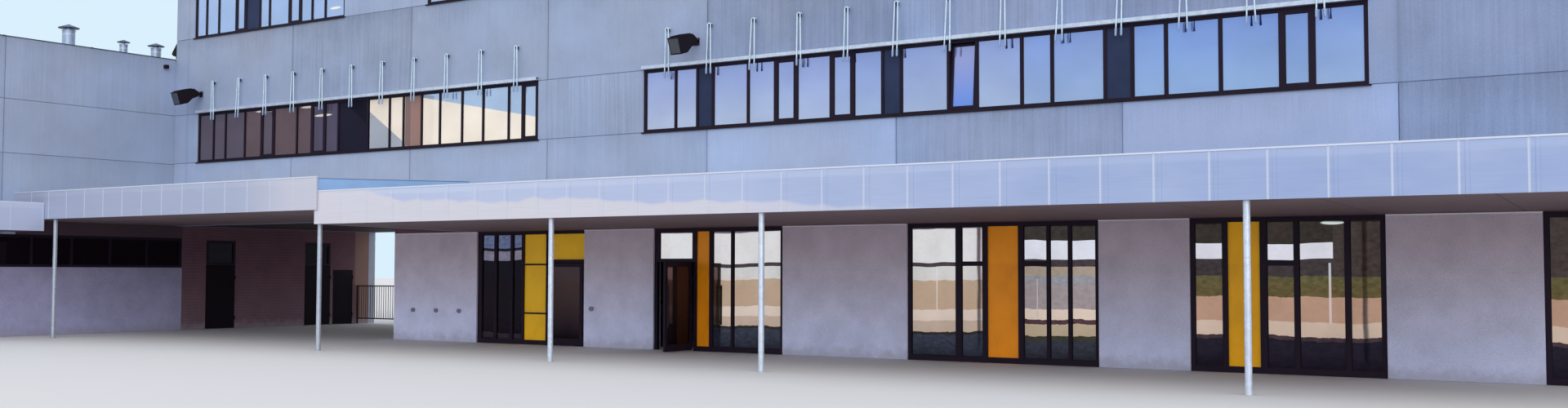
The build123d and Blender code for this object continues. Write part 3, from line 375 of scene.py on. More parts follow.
def renderMaterial(name, foot, head, dirt, courses=0.0):
    v = renderLook
    mat = newMaterial(name, 0.9, specular=0.2)
    point = objectPoint(mat)
    x, y, z = splitUp(point)
    coarse = noise(point, 95.0, 3.0, 0.75)
    fine = noise(point, 240.0, 2.0, 0.7)
    total = remap(coarse, 0.32, 0.68, -v["speckle"], v["speckle"]) + 1.0
    total = total + swing(fine, v["speckle"] * 0.5) + swing(noise(point, 3.2, 4.0, 0.6), v["cloud"])
    total = total * remap(x, cornerX + 5.5, cornerX + 20.5, 1.14, 0.92)
    # painted shade: darker and warmer towards the head
    colour = scaled(mixColour(smooth(z, *v["rise"]), foot, head), total)
    if courses:
        # rows of blocks show faintly through the render, which has painted sunlight where the passage opens
        # at the back
        colour = scaled(colour, remap(toJoint(z, courses) * courses, 0.0015, 0.005, 0.68, 1.0))
        paler = smooth(y, *(frontY + limit for limit in v["passageBack"]))
        colour = mixColour(paler, colour, sunlitBrown)
    wavy = z + swing(noise(point, 9.0, 3.0), 0.05)
    colour = mixColour(smooth(wavy, 0.0, 0.16, dirt, 0.0), colour, v["splash"])
    return finishMaterial(mat, colour, 0.9, bumped(coarse * 0.7 + fine * 0.3, v["bump"], 0.004))


pierRender = renderMaterial("pierRender", renderLook["foot"], renderLook["head"], 0.45)
passageRender = renderMaterial("passageRender", (0.185, 0.11, 0.14), (0.14, 0.072, 0.092), 0.6, 0.05)
lowWallRender = renderMaterial("lowWallRender", (0.35, 0.35, 0.54), (0.275, 0.255, 0.38), 0.45)
print("render ready")

# glass: a coated pane that mirrors the sky, with a painted reflection for each bay
glassLook = {
    "metallic": 0.55, "roughness": 0.03, "ripple": 0.01,
    "lamp": (1.0, 0.93, 0.8), "lampHalfHeight": 0.022,
}
skyLilac = (0.475, 0.535, 0.76)
skyBlue = (0.235, 0.395, 0.745)
paleSky = (0.48, 0.58, 0.76)
upperSky = (0.37, 0.52, 0.78)
creamReflection = (1.0, 0.88, 0.74)
brownTint = (0.2, 0.155, 0.205)
nightTint = (0.008, 0.005, 0.016)
paleGrey = (0.64, 0.66, 0.68)
warmBrown = (0.35, 0.205, 0.165)
dimRooms = [(0.19, 0.15, 0.178), (0.2, 0.132, 0.135), (0.155, 0.125, 0.18)]  # grey brown, brown, plum
# where each pane of the strips starts, from the inner corner
leftStarts = [0.6, 0.99, 1.294, 1.778, 2.186, 2.49, 3.03, 3.37, 3.676, 3.97, 4.612, 5.076, 5.364, 5.736,
              6.1, 6.534, 6.936, 7.412, 7.664]
rightStarts = [9.738, 10.232, 10.564, 10.8, 11.316, 11.704, 12.005, 12.472, 12.77, 13.148, 13.384, 13.968,
               14.308, 14.828, 15.168, 15.744, 16.03, 16.376, 16.916, 17.488, 17.786]
# dim rooms seen through, then panes with a painted cream reflection below a painted sky reflection, each
# (lower, upper)
leftPanes = [(dimRooms[k], blend(dimRooms[k], brownTint, 0.5)) for k in (0, 0, 0, 1, 0, 1, 1, 2, 2)]
leftPanes += [(nightTint, nightTint)] + [(paleGrey, creamReflection)] * 2 + [(warmBrown, sunlitBrown)]
leftPanes += [(creamReflection, paleSky)] * 6
stripRoom = 10.0  # the length that the steps of a strip cover
rightRoomStart = 9.0
secondFloor = 4.0  # everything higher belongs to the second floor's strip


def glassMaterial(name, specular=0.5):
    v = glassLook
    mat = newMaterial(name, v["roughness"], v["metallic"], specular)
    point = objectPoint(mat)
    return mat, point, bumped(noise(point, 1.7, 1.0), 0.12, v["ripple"])


def paintedLampStreaks(tint, along, z, places):
    # long ceiling lamps behind the panes, painted into the glass colour as thin bright streaks
    for middle, level, halfLength in places:
        across = ((along - middle) / halfLength) ** 2.0
        up = ((z - level) / glassLook["lampHalfHeight"]) ** 2.0
        tint = mixColour(smooth(across + up, 0.5, 1.0, 0.9, 0.0), tint, glassLook["lamp"])
    return tint


# painted reflections of the hangers' fork ends: dark marks on the sky panes
hangerReflectionValues = {
    "start": 10.187, "spacing": 0.643, "gap": 0.0325, "lastGap": 0.043, "widens": (14.5, 16.5),
    "foot": 3.364, "swell": 3.425, "thin": 0.007, "thick": 0.013,
    "colour": (0.006, 0.016, 0.08), "strength": 0.97,
}


def paintedHangerReflections(tint, along, z, v):
    offCentre = toJoint(along - v["start"], v["spacing"]) * v["spacing"]
    # the legs stand wider apart towards the right end
    offLeg = abs(offCentre - remap(along, *v["widens"], v["gap"], v["lastGap"]))
    reach = remap(z, v["foot"], v["swell"], v["thick"], v["thin"])
    inRow = (z > v["foot"]) * (z < secondFloor) * (along > rightRoomStart)
    return mixColour(remap(offLeg / reach, 0.75, 1.0, v["strength"], 0.0) * inRow, tint, v["colour"])


def stripGlassMaterial(lamps):
    mat, point, ripple = glassMaterial("stripGlass")
    along, z = frontPlace(point)
    random.seed(11)
    # right strip: a painted sky reflection from lilac to clear blue, each pane a little different
    stops = []
    for i, start in enumerate(rightStarts):
        share = i / (len(rightStarts) - 1) * 0.75 + random.uniform(-0.16, 0.16)
        sky = blend(skyLilac, skyBlue, min(1.0, max(0.0, share)))
        stops.append(((start - rightRoomStart) / stripRoom, sky))
    rightTint = steps((along - rightRoomStart) / stripRoom, stops)
    # the painted sky reflection of every pane is deeper at its head and lighter at its foot
    rise = remap(z, 2.78, 3.44) + swing(noise(point, (0.9, 1.0, 1.6)), 0.18)
    shade = mixColour(rise, (1.11, 1.045, 0.95), (0.79, 0.79, 0.93))
    rightTint = mixColour(1.0, rightTint, shade, 'MULTIPLY')
    # left strip: two sloping lines split the painted reflections of the panes into a lower and an upper part
    slope = 3.423 - (along - 5.78) * 0.185
    corner = 3.314 - (along - 4.617) * 0.67
    split = result("ShaderNodeMix", {}, {0: along > 5.5, 2: corner, 3: slope})
    lower, upper = [steps(along / stripRoom, [(start / stripRoom, pane[k])
                                              for start, pane in zip(leftStarts, leftPanes)]) for k in (0, 1)]
    leftTint = mixColour(remap(z - split, -0.006, 0.006), lower, upper)
    tint = mixColour(along > rightRoomStart, leftTint, rightTint)
    # the second floor has a painted sky reflection all along
    tint = mixColour(z > secondFloor, tint, mixColour(noise(point, (1.1, 1.0, 0.5), 1.0), skyLilac, upperSky))
    tint = paintedLampStreaks(tint, along, z, lamps)
    tint = paintedHangerReflections(tint, along, z, hangerReflectionValues)
    haze = spread(noise(point, (1.6, 1.0, 2.4)), 0.94, 1.07)
    parts = splitUp(tint)
    # warm panes mirror less
    mirror = remap(parts[0] - parts[2], 0.05, 0.15, glassLook["metallic"], 0.08)
    return finishMaterial(mat, scaled(tint, haze), normal=ripple, metallic=mirror)


# painted reflections in the ground floor panes, as a colour from each height up
mirrorBands = {
    "nearWall": [(0.0, (0.055, 0.065, 0.1)), (0.29, (0.04, 0.036, 0.03)), (0.325, (0.64, 0.49, 0.38)),
                 (0.44, (0.85, 0.69, 0.58)), (0.56, (0.6, 0.43, 0.3)), (0.88, (0.86, 0.69, 0.61)),
                 (1.03, (0.11, 0.075, 0.08)), (1.075, (1.0, 0.795, 0.725)), (1.44, (0.3, 0.23, 0.24))],
    "farWall": [(0.0, (0.05, 0.056, 0.08)), (0.256, (0.06, 0.06, 0.036)), (0.3, (0.56, 0.44, 0.3)),
                (0.425, (0.12, 0.06, 0.07)), (0.47, (0.85, 0.68, 0.56)), (0.58, (0.43, 0.365, 0.37)),
                (0.93, (0.52, 0.35, 0.25)), (1.02, (0.1, 0.065, 0.07)), (1.1, (0.96, 0.8, 0.8)),
                (1.3, (0.07, 0.052, 0.042))],
    "bank": [(0.0, (0.022, 0.018, 0.034)), (0.33, (0.08, 0.05, 0.06)), (0.365, (0.72, 0.54, 0.42)),
             (0.505, (0.56, 0.34, 0.24)), (0.74, (0.175, 0.135, 0.055)), (0.935, (0.085, 0.058, 0.056)),
             (1.1, (0.96, 0.78, 0.78)), (1.25, (0.068, 0.046, 0.034))],
    "court": [(0.0, (0.016, 0.014, 0.03)), (0.07, (0.05, 0.04, 0.06)), (0.15, (0.008, 0.004, 0.01)),
              (1.12, (0.3, 0.23, 0.29)), (1.245, (0.014, 0.011, 0.022)), (1.285, (0.17, 0.18, 0.3))],
}
mirrorHeight = 1.6
mirrorStarts = {"nearWall": 8.5, "farWall": 14.5, "bank": 16.0}
# thin upright streaks in them: place along the front, foot, head, half width, colour
mirrorPosts = [(17.9, 0.49, 1.06, 0.013, (0.8, 0.66, 0.62)), (13.81, 0.56, 1.03, 0.008, (0.9, 0.76, 0.7)),
               (18.04, 0.36, 0.82, 0.01, (0.14, 0.06, 0.04)), (14.98, 0.5, 0.9, 0.008, (0.62, 0.56, 0.52))]


def groundGlassMaterial(lamps):
    mat, point, ripple = glassMaterial("groundGlass", 0.12)
    along, z = frontPlace(point)
    wave = swing(noise(point, (1.3, 1.0, 0.4)), 0.022)
    ragged = swing(noise(point, (11.0, 1.0, 5.0), 3.0, 0.6), 0.008) * (z < 1.0)
    place = (z + (wave + ragged)) / mirrorHeight
    sets = {name: steps(place, [(height / mirrorHeight, colour) for height, colour in bands])
            for name, bands in mirrorBands.items()}
    tint = sets["court"]
    for name, start in mirrorStarts.items():
        tint = mixColour(along > start, tint, sets[name])
    # the pale band ends at the last panes
    tint = mixColour((along > 17.93) * (z > 0.93), tint, (0.095, 0.062, 0.052))
    for middle, foot, head, halfWidth, colour in mirrorPosts:
        beside = remap(abs(along - middle), halfWidth * 0.7, halfWidth, 0.85, 0.0)
        tint = mixColour(beside * within(z, foot, head), tint, colour)
    tint = paintedLampStreaks(tint, along, z, lamps)
    # the panes in the passage are painted near black for the deep shade they stand in
    tint = mixColour(along < 1.0, tint, (0.006, 0.003, 0.006))
    red = splitUp(tint)[0]
    # a fine mottle on the darker bands
    mottle = swing(noise(point, (16.0, 1.0, 26.0), 4.0, 0.7), 1.0) * remap(red, 0.2, 0.6, 0.34, 0.03)
    haze = spread(noise(point, (2.6, 1.0, 1.6)), 0.9, 1.08) + mottle
    return finishMaterial(mat, scaled(tint, haze), normal=ripple, metallic=remap(red, 0.1, 0.6, 0.5, 0.95))


# the glass colour runs from low to high going up, a painted sky reflection on the back and tilted panes
def plainGlassMaterial(name, low, high, bottom, top, specular=0.5):
    mat, point, ripple = glassMaterial(name, specular)
    rise = remap(splitUp(point)[2], bottom, top) + swing(noise(point, (0.9, 0.9, 0.5)), 0.3)
    return finishMaterial(mat, mixColour(rise, low, high), normal=ripple)


# painted lamp streaks: place along the front, level, half length
stripGlass = stripGlassMaterial([(2.27, 3.452, 0.27), (3.31, 3.452, 0.225), (3.62, 3.305, 0.225),
                                 (3.86, 4.905, 0.14)])
groundGlass = groundGlassMaterial([(17.93, 1.44, 0.12)])
wingGlass = plainGlassMaterial("wingGlass", (0.012, 0.008, 0.016), (0.02, 0.013, 0.022), 1.0, 1.5)
backGlass = plainGlassMaterial("backGlass", (0.16, 0.215, 0.33), (0.3, 0.4, 0.62), 0.4, 5.5)
doorGlass = plainGlassMaterial("doorGlass", (0.01, 0.006, 0.01), (0.07, 0.04, 0.04), 0.1, 1.1, 0.12)
tiltedGlass = plainGlassMaterial("tiltedGlass", (0.09, 0.27, 0.83), (0.38, 0.4, 0.7), 2.75, 3.45, 0.3)
print("glass ready")

# canopy fascia: satin sheet with a lighter upper edge and a painted patch of reflected light at its left
fasciaLook = {
    "sheet": (0.45, 0.51, 0.7), "deepSheet": (0.29, 0.375, 0.615),
    "edge": (0.51, 0.57, 0.74), "deepEdge": (0.37, 0.45, 0.67),
    "reflectedLight": (0.64, 0.62, 0.67), "cap": (0.62, 0.67, 0.8), "seam": (0.56, 0.6, 0.74),
    "seamSpacing": 0.4516, "scallop": 0.035, "raisedShade": 0.8,
    # how high the painted reflected light reaches, as a share of the height, at each place along the front
    "reflectedLightLine": [(6.6, 1.2), (7.59, 1.0), (8.58, 0.62), (11.0, 0.52), (13.2, 0.3), (14.52, 0.1),
                  (15.84, 0.0)],
    "frontLength": 22.0,
}


def fasciaMaterial(name, bottom, top, seamAxis, firstSeam, reflectedLightMode):
    v = fasciaLook
    mat = newMaterial(name, 0.38, specular=0.45)
    point = objectPoint(mat)
    parts = splitUp(point)
    along, z = parts[0] - cornerX, parts[2]
    cloud = noise(point, (0.8, 0.8, 2.2), 3.0, 0.55)
    deeper = smooth(along, 9.0, 18.0)
    plain = mixColour(deeper, v["sheet"], v["deepSheet"])
    sheet = mixColour(remap(cloud, 0.35, 0.75, 0.0, 0.35), plain, v["edge"])
    upper = smooth(z, top - 0.1, top - 0.07, 0.0, 0.8)
    sheet = mixColour(upper, sheet, mixColour(deeper, v["edge"], v["deepEdge"]))
    seamPlace = toJoint(parts[seamAxis] - firstSeam, v["seamSpacing"])
    if reflectedLightMode == "main":
        # each sheet between two seams bellies a little, so the painted reflected light below has a scalloped
        # edge
        scallop = (seamPlace * 2.0) ** 0.6 * v["scallop"]
        stops = [(place / v["frontLength"], share) for place, share in v["reflectedLightLine"]]
        edgeRow = numberSteps(along / v["frontLength"], stops, constant=False)
        wavy = edgeRow + swing(noise(point, (1.4, 1.0, 0.2)), 0.09)
        limit = wavy * (top - bottom) + bottom - scallop
        below = smooth(limit - z, -0.012, 0.03, 0.0, 0.85)
        sheet = mixColour(below * smooth(along, 12.0, 16.5, 1.0, 0.0), sheet, v["reflectedLight"])
    elif reflectedLightMode == "raised":
        # painted reflected light towards the right of the raised fascia
        sheet = mixColour(smooth(along, 5.0, 6.5, 0.0, 0.6), scaled(sheet, v["raisedShade"]), v["reflectedLight"])
    sheet = mixColour(remap(z, top - 0.0145, top - 0.0135), sheet, v["cap"])
    sheet = mixColour(remap(seamPlace, 0.014, 0.022, 0.8, 0.0), sheet, v["seam"])
    total = spread(noise(point, (3.0, 3.0, 180.0), 1.0), 0.97, 1.03)
    belly = noise(point, (2.2, 2.2, 1.1), 1.0)
    return finishMaterial(mat, scaled(sheet, total), spread(cloud, 0.3, 0.45), bumped(belly, 0.25, 0.02))


mainFascia = fasciaMaterial("mainFascia", 1.54, 1.95, 0, cornerX + 7.1205, "main")
raisedFascia = fasciaMaterial("raisedFascia", 1.712, 2.122, 0, cornerX + 0.445, "raised")
wingFascia = fasciaMaterial("wingFascia", 1.54, 1.95, 1, frontY - 5.55 + 0.22625, "plain")
print("fascia ready")


# painted metal and board, with broad clouds and a fine grain
def paintCoat(mat, tint, roughness, variation, fineSwing):
    point = objectPoint(mat)
    cloud = noise(point, 2.6, 3.0, 0.55)
    fine = noise(point, 110.0, 2.0, 0.6)
    total = spread(cloud, 1.0 - variation, 1.0 + variation) + swing(fine, fineSwing)
    return finishMaterial(mat, scaled(tint, total), spread(cloud, roughness - 0.06, roughness + 0.08),
                          bumped(fine, 0.08, 0.001))


def paintMaterial(name, colour, roughness, variation, metallic=0.0, specular=0.4, joints=0.0):
    mat = newMaterial(name, roughness, metallic, specular)
    tint = colour
    if joints:
        nearJoint = toJoint(splitUp(objectPoint(mat))[0], joints) * joints
        tint = scaled(colour, remap(nearJoint, 0.004, 0.012, 0.55, 1.0))
    return paintCoat(mat, tint, roughness, variation, variation * 0.35)


frameMaterial = paintMaterial("anthraciteFrames", (0.018, 0.01, 0.023), 0.5, 0.18, specular=0.12)
sillMaterial = paintMaterial("darkSills", (0.016, 0.009, 0.014), 0.5, 0.18, specular=0.15)
copingMaterial = paintMaterial("darkCopings", (0.06, 0.062, 0.085), 0.5, 0.14, 0.3)
# near black: painted shade deep in the passage
passageCeiling = paintMaterial("passageCeilingBoards", (0.04, 0.019, 0.029), 0.8, 0.1)
blackMaterial = paintMaterial("blackBars", (0.012, 0.009, 0.012), 0.5, 0.2, specular=0.2)
doorMaterial = paintMaterial("passageDoors", (0.01, 0.005, 0.01), 0.6, 0.15, specular=0.1)
lampMaterial = paintMaterial("floodlightBodies", (0.012, 0.006, 0.01), 0.5, 0.2, specular=0.15)
lensMaterial = paintMaterial("floodlightLenses", (0.06, 0.07, 0.095), 0.25, 0.2, specular=0.5)
# the saddles' dark paint also stands for the shade behind the hangers' bends
saddleAndShadeMaterial = paintMaterial("hangerSaddles", (0.045, 0.06, 0.11), 0.5, 0.15, specular=0.3)
trimMaterial = paintMaterial("paleTrim", (0.8, 0.76, 0.8), 0.5, 0.06)
beadMaterial = paintMaterial("blackBeads", (0.01, 0.006, 0.008), 0.6, 0.15, specular=0.2)

# painted shade: the boards' undersides are dark for the shade below the canopies, while tops keep the board
# colour
boardLook = {"under": (0.175, 0.122, 0.135), "over": (0.2, 0.205, 0.22), "spacing": 1.22}
soffitMaterial = paintMaterial("soffitBoards", boardLook["under"], 0.75, 0.1, joints=boardLook["spacing"])


def boardMaterial(name, v, level):
    mat = paintMaterial(name, v["under"], 0.75, 0.1, joints=v["spacing"])
    top = splitUp(objectPoint(mat))[2] > level
    return finishMaterial(mat, mixColour(top, coatOf(mat), v["over"]))


wingBoards = boardMaterial("wingCanopyBoards", boardLook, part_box("wing_canopy_boards")[1][2] - 0.004)

blankLook = {"slate": (0.026, 0.038, 0.09), "night": (0.006, 0.004, 0.014), "dusk": (0.012, 0.01, 0.026)}


def blankPanelMaterial(v):
    # slate blue sheet, all but black in the left strip, where a wedge of painted reflection shows at its foot
    mat = newMaterial("slateBlanks", 0.5, specular=0.12)
    along, z = frontPlace(objectPoint(mat))
    edge = (along - 4.3) * -0.75 + 3.33
    dark = mixColour(remap(edge - z, -0.01, 0.02), v["night"], v["dusk"])
    inLeft = (along < 6.0) * (z < secondFloor)
    return paintCoat(mat, mixColour(inLeft, v["slate"], dark), 0.5, 0.14, 0.05)


blankMaterial = blankPanelMaterial(blankLook)

cheekLook = {"colour": (0.37, 0.6, 0.96), "edge": (0.12, 0.17, 0.33), "fall": -0.039}


def cheekPaint(v, topEdge):
    mat = paintMaterial("blueCheek", v["colour"], 0.35, 0.06)
    y, z = splitUp(objectPoint(mat))[1:]
    edge = remap(z + (y - frontY) * v["fall"], topEdge - 0.012, topEdge - 0.008)
    return finishMaterial(mat, mixColour(edge, coatOf(mat), v["edge"]))


cheekMaterial = cheekPaint(cheekLook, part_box("canopy_cheek")[1][2])


# galvanised metal
def galvanisedMaterial(name, colour, metallic):
    mat = newMaterial(name, 0.42, metallic, 0.5)
    point = objectPoint(mat)
    shade = splitUp(cells(point, 26.0, "Color"))[0]
    small = noise(point, 60.0, 3.0, 0.7)
    total = remap(shade, 0.0, 1.0, 0.9, 1.08) + swing(small, 0.05)
    dullerAndShaded = tuple(part * share for part, share in zip(colour, (0.9, 0.93, 1.0)))
    tint = scaled(mixColour(spread(noise(point, 1.8), 0.0, 1.0), colour, dullerAndShaded), total)
    return finishMaterial(mat, tint, remap(shade, 0.0, 1.0, 0.34, 0.5), bumped(small, 0.1, 0.001))


fittingMaterial = galvanisedMaterial("fittingMetal", (0.3, 0.31, 0.36), 0.6)
zincColour = (0.64, 0.69, 0.78)
galvanised = galvanisedMaterial("galvanisedSteel", zincColour, 0.45)


def columnMaterial(colour, shaded):
    # painted shade: the columns by the passage are darker, as they stand in deeper shade
    mat = galvanisedMaterial("columnSteel", colour, 0.45)
    along = frontPlace(objectPoint(mat))[0]
    return finishMaterial(mat, scaled(coatOf(mat), remap(along, 7.5, 10.0, shaded, 1.06)))


columnSteel = columnMaterial(zincColour, 0.74)


def cowlMaterial(pipeColour, hatColour):
    mat = galvanisedMaterial("cowlMetal", pipeColour, 0.5)
    y, z = splitUp(objectPoint(mat))[1:]
    # the head of each pipe over 4 m, from the nearest cowl to the farthest
    place = (y - (frontY - 2.0)) / 4.0
    head = numberSteps(place, [(0.0, 0.949), (0.375, 0.849), (0.575, 0.864)]) + 4.0
    return finishMaterial(mat, mixColour(z > head, coatOf(mat), hatColour))


cowlMetal = cowlMaterial((0.42, 0.5, 0.64), (0.1, 0.135, 0.215))


def hangerMaterial(colour, shadedForkColour, forkHead, lift):
    # the fork ends are darker than the rods, in both storeys: painted shade below the rail
    mat = galvanisedMaterial("hangerSteel", colour, 0.3)
    z = splitUp(objectPoint(mat))[2]
    height = z - (z > 4.6) * lift
    dullerAndShaded = smooth(height, forkHead - 0.012, forkHead + 0.012, 0.9, 0.0)
    return finishMaterial(mat, mixColour(dullerAndShaded, coatOf(mat), shadedForkColour))


hangerSteel = hangerMaterial((0.69, 0.82, 0.9), (0.3, 0.4, 0.6), 3.462, 2.025)
print("metals ready")

# ochre panels, lighter above the transom line, a little mottled
yellowLook = {
    "mustard": (1.0, 0.56, 0.012), "amber": (1.0, 0.335, 0.01), "gold": (1.0, 0.48, 0.008),
    "amberFrom": 9.5, "goldFrom": 16.0, "transom": (1.03, 1.09), "lift": 0.1,
}


def yellowMaterial(v):
    mat = newMaterial("ochrePanels", 0.35, specular=0.2)
    point = objectPoint(mat)
    along, z = frontPlace(point)
    colour = mixColour(along > v["amberFrom"], v["mustard"], v["amber"])
    colour = mixColour(along > v["goldFrom"], colour, v["gold"])
    fine = noise(point, 150.0)
    total = spread(noise(point, (5.0, 5.0, 3.0), 3.0, 0.6), 0.9, 1.1)
    total = total + smooth(z, *v["transom"], 0.0, v["lift"]) + swing(fine, 0.03)
    return finishMaterial(mat, scaled(colour, total), spread(fine, 0.26, 0.36), bumped(fine, 0.06, 0.001))


yellowPanels = yellowMaterial(yellowLook)


# floors and roofing, with a lap between sheets where a grid is given
def slabMaterial(name, colour, variation, grid=None):
    mat = newMaterial(name, 0.85, specular=0.25)
    point = objectPoint(mat)
    height = noise(point, 90.0, 2.0, 0.7)
    clouds = noise(point, 1.1, 5.0, 0.65)
    total = spread(clouds, 1.0 - variation, 1.0 + variation) + swing(height, variation * 0.6)
    if grid:
        seam = remap(toJoint(splitUp(point)[0], grid), 0.0, 0.018, 1.0, 0.0)
        total = total - seam * 0.3
        height = height + seam * 2.0
    return finishMaterial(mat, scaled(colour, total), 0.85, bumped(height, 0.3, 0.003))


floorMaterial = slabMaterial("castFloors", (0.3, 0.295, 0.29), 0.12)
roofMaterial = slabMaterial("roofMembrane", (0.15, 0.155, 0.17), 0.14, 1.0)
deckMaterial = slabMaterial("canopyDecking", boardLook["over"], 0.14, 0.9)
print("slabs ready")

# the finish of each CAD node
finishes = [
    (mainConcrete, "front_wall_bands front_wall_piers"),
    (backConcrete, "back_wall_bands back_wall_piers"),
    (endConcrete, "block_end_walls"),
    (wingConcrete, "wing_front_wall"),
    (wingBackConcrete, "wing_end_walls"),
    (wingSideConcrete, "wing_back_wall_bands wing_back_wall_piers"),
    (pierRender, "ground_floor_piers"),
    (passageRender, "door_lintels passage_right_wall passage_left_piers store_door_lintel"),
    (lowWallRender, "wing_low_wall"),
    (floorMaterial, "floor_slabs wing_floor_slabs"),
    (roofMaterial, "roof_slab wing_roof_slab"),
    (deckMaterial, "canopy_decks"),
    (stripGlass, "strip_window_glass"),
    (groundGlass, "glazing_glass"),
    (wingGlass, "wing_window_glass"),
    (backGlass, "back_window_glass"),
    (doorGlass, "entrance_door_1_glass entrance_door_2_glass"),
    (tiltedGlass, "tilted_sash_glass"),
    (frameMaterial, "strip_window_frames tilted_sash back_window_frames wing_window_frames"),
    (frameMaterial, "glazing_frames door_head_frames door_jambs entrance_door_1 entrance_door_2"),
    (blankMaterial, "strip_window_blanks"),
    (yellowPanels, "yellow_panels"),
    (sillMaterial, "strip_window_sills"),
    (copingMaterial, "parapet_copings"),
    (doorMaterial, "passage_door_1 passage_door_2 store_door door_hinges"),
    (blackMaterial, "passage_fence"),
    (passageCeiling, "passage_ceiling"),
    (soffitMaterial, "canopy_soffits"),
    (wingBoards, "wing_canopy_boards"),
    (cheekMaterial, "canopy_cheek"),
    (mainFascia, "canopy_fascia"),
    (raisedFascia, "raised_canopy_fascia"),
    (wingFascia, "wing_canopy_fascia"),
    (columnSteel, "canopy_columns"),
    (galvanised, "sunshade_rails sunshade_hangers"),
    (cowlMetal, "roof_cowls"),
    (lampMaterial, "floodlights"),
    (fittingMaterial, "wall_fittings"),
]
nodeFinish = {node: material for material, names in finishes for node in names.split()}
for node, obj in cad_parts.items():
    obj.data.materials.clear()
    obj.data.materials.append(nodeFinish[node])
print("finishes set")


# modelling steps that the pieces share
def clearSelection():
    bpy.ops.object.select_all(action='DESELECT')


def makeActive(obj):
    clearSelection()
    obj.select_set(True)
    bpy.context.view_layer.objects.active = obj


def applyPlace():
    bpy.ops.object.transform_apply(location=True, rotation=True, scale=True)


def startEdit():
    bpy.ops.object.mode_set(mode='EDIT')


def endEdit():
    bpy.ops.object.mode_set(mode='OBJECT')


def selectAll():
    bpy.ops.mesh.select_all(action='SELECT')


def extrude(x, y, z):
    bpy.ops.mesh.extrude_region_move(TRANSFORM_OT_translate={"value": (x, y, z)})


def pick(obj, test):
    # in edit mode: select the vertices that pass a test on their place, and what they close in
    mesh = bmesh.from_edit_mesh(obj.data)
    for part in [*mesh.faces, *mesh.edges]:
        part.select_set(False)
    for vert in mesh.verts:
        vert.select_set(test(vert.co))
    mesh.select_flush(True)
    bmesh.update_edit_mesh(obj.data)


def addRound(sides, radius, length, place=(0, 0, 0), edge=0.0):
    # a cylinder that points out from the front, bevelled all round where an edge is given
    clearSelection()
    bpy.ops.mesh.primitive_cylinder_add(vertices=sides, radius=radius, depth=length, location=place,
                                        rotation=(math.pi / 2, 0, 0))
    if edge:
        startEdit()
        bpy.ops.mesh.bevel(offset=edge, segments=1)
        endEdit()
    applyPlace()
    return bpy.context.object


def addBar(size, place):
    clearSelection()
    bpy.ops.mesh.primitive_cube_add(size=1, location=place)
    bar = bpy.context.object
    bar.scale = size
    applyPlace()
    return bar


def bevelled(obj, test, offset):
    startEdit()
    pick(obj, test)
    bpy.ops.mesh.bevel(offset=offset, segments=1)
    endEdit()
    return obj


def narrowed(obj, test, factors, centre=(0, 0, 0)):
    startEdit()
    pick(obj, test)
    bpy.ops.transform.resize(value=factors, center_override=centre)
    endEdit()
    return obj


def thicken(obj, thickness, offset):
    sheet = obj.modifiers.new("sheet", 'SOLIDIFY')
    sheet.thickness = thickness
    sheet.offset = offset
    bpy.ops.object.modifier_apply(modifier="sheet")


def copied(source, change):
    # a copy with its own mesh, placed in its mesh
    twin = source.copy()
    twin.data = source.data.copy()
    twin.data.transform(change)
    bpy.context.scene.collection.objects.link(twin)
    return twin


def joined(objects):
    makeActive(objects[0])
    for obj in objects:
        obj.select_set(True)
    if len(objects) > 1:
        bpy.ops.object.join()
    return objects[0]


def repeated(sources, changes):
    # copies of the sources in turn, joined; the sources themselves go
    copies = [copied(sources[i % len(sources)], change) for i, change in enumerate(changes)]
    for source in sources:
        bpy.data.objects.remove(source)
    return joined(copies)


def settle(obj, name, material, body="root"):
    makeActive(obj)
    applyPlace()
    obj.name = obj.data.name = name
    obj.data.materials.clear()
    obj.data.materials.append(material)
    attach(obj, body)
    print("modelled", name, len(obj.data.polygons), "faces")
    return obj


# hairpin hangers over the strip windows: a bent rod, two fork ends and an eye bolt into the wall
hangerValues = {
    "rod": 0.008, "bend": 0.0205, "standoff": 0.059, "top": 4.005, "foot": 3.376, "footTaper": 0.7,
    "forkWidth": 0.0125, "forkLength": 0.08, "forkStraight": 0.8, "boltRadius": 0.0045,
    "washer": 0.0105, "washerDepth": 0.004, "nut": 0.0085, "nutDepth": 0.009, "nutEdge": 0.0015,
    "saddleDepth": 0.022, "saddleReach": 0.014, "saddleRadius": 0.0185, "saddleBack": 0.033,
    "flange": 0.003, "flangeGrowth": (1.3, 1.0, 1.15), "smoothAngle": 50.0,
    # how far the left and the right leg lean, as the legs of the two lower rows stand in turn
    "leans": [(-0.002, 0.022), (-0.038, -0.014), (-0.018, 0.01), (-0.03, 0.013), (-0.018, 0.01),
              (-0.011, 0.008), (-0.022, 0.006), (-0.02, 0.002), (-0.014, 0.01), (-0.018, 0.008),
              (-0.012, 0.012), (-0.014, 0.01), (-0.02, 0.004), (-0.032, 0.0), (-0.007, 0.009),
              (-0.018, -0.006), (-0.028, -0.014), (-0.034, -0.006), (-0.02, 0.003), (-0.034, -0.003),
              (-0.032, -0.014), (-0.03, 0.016), (-0.012, 0.034), (-0.012, 0.025)],
    # each row: start, spacing, count, lift
    "rows": [(1.045, 0.656, 11, 0.0), (10.15, 0.643, 13, 0.0), (0.86, 0.66, 5, 2.025),
             (6.225, 0.66, 11, 2.025), (15.325, 0.66, 5, 2.025)],
}
mergeDistance = 0.00005


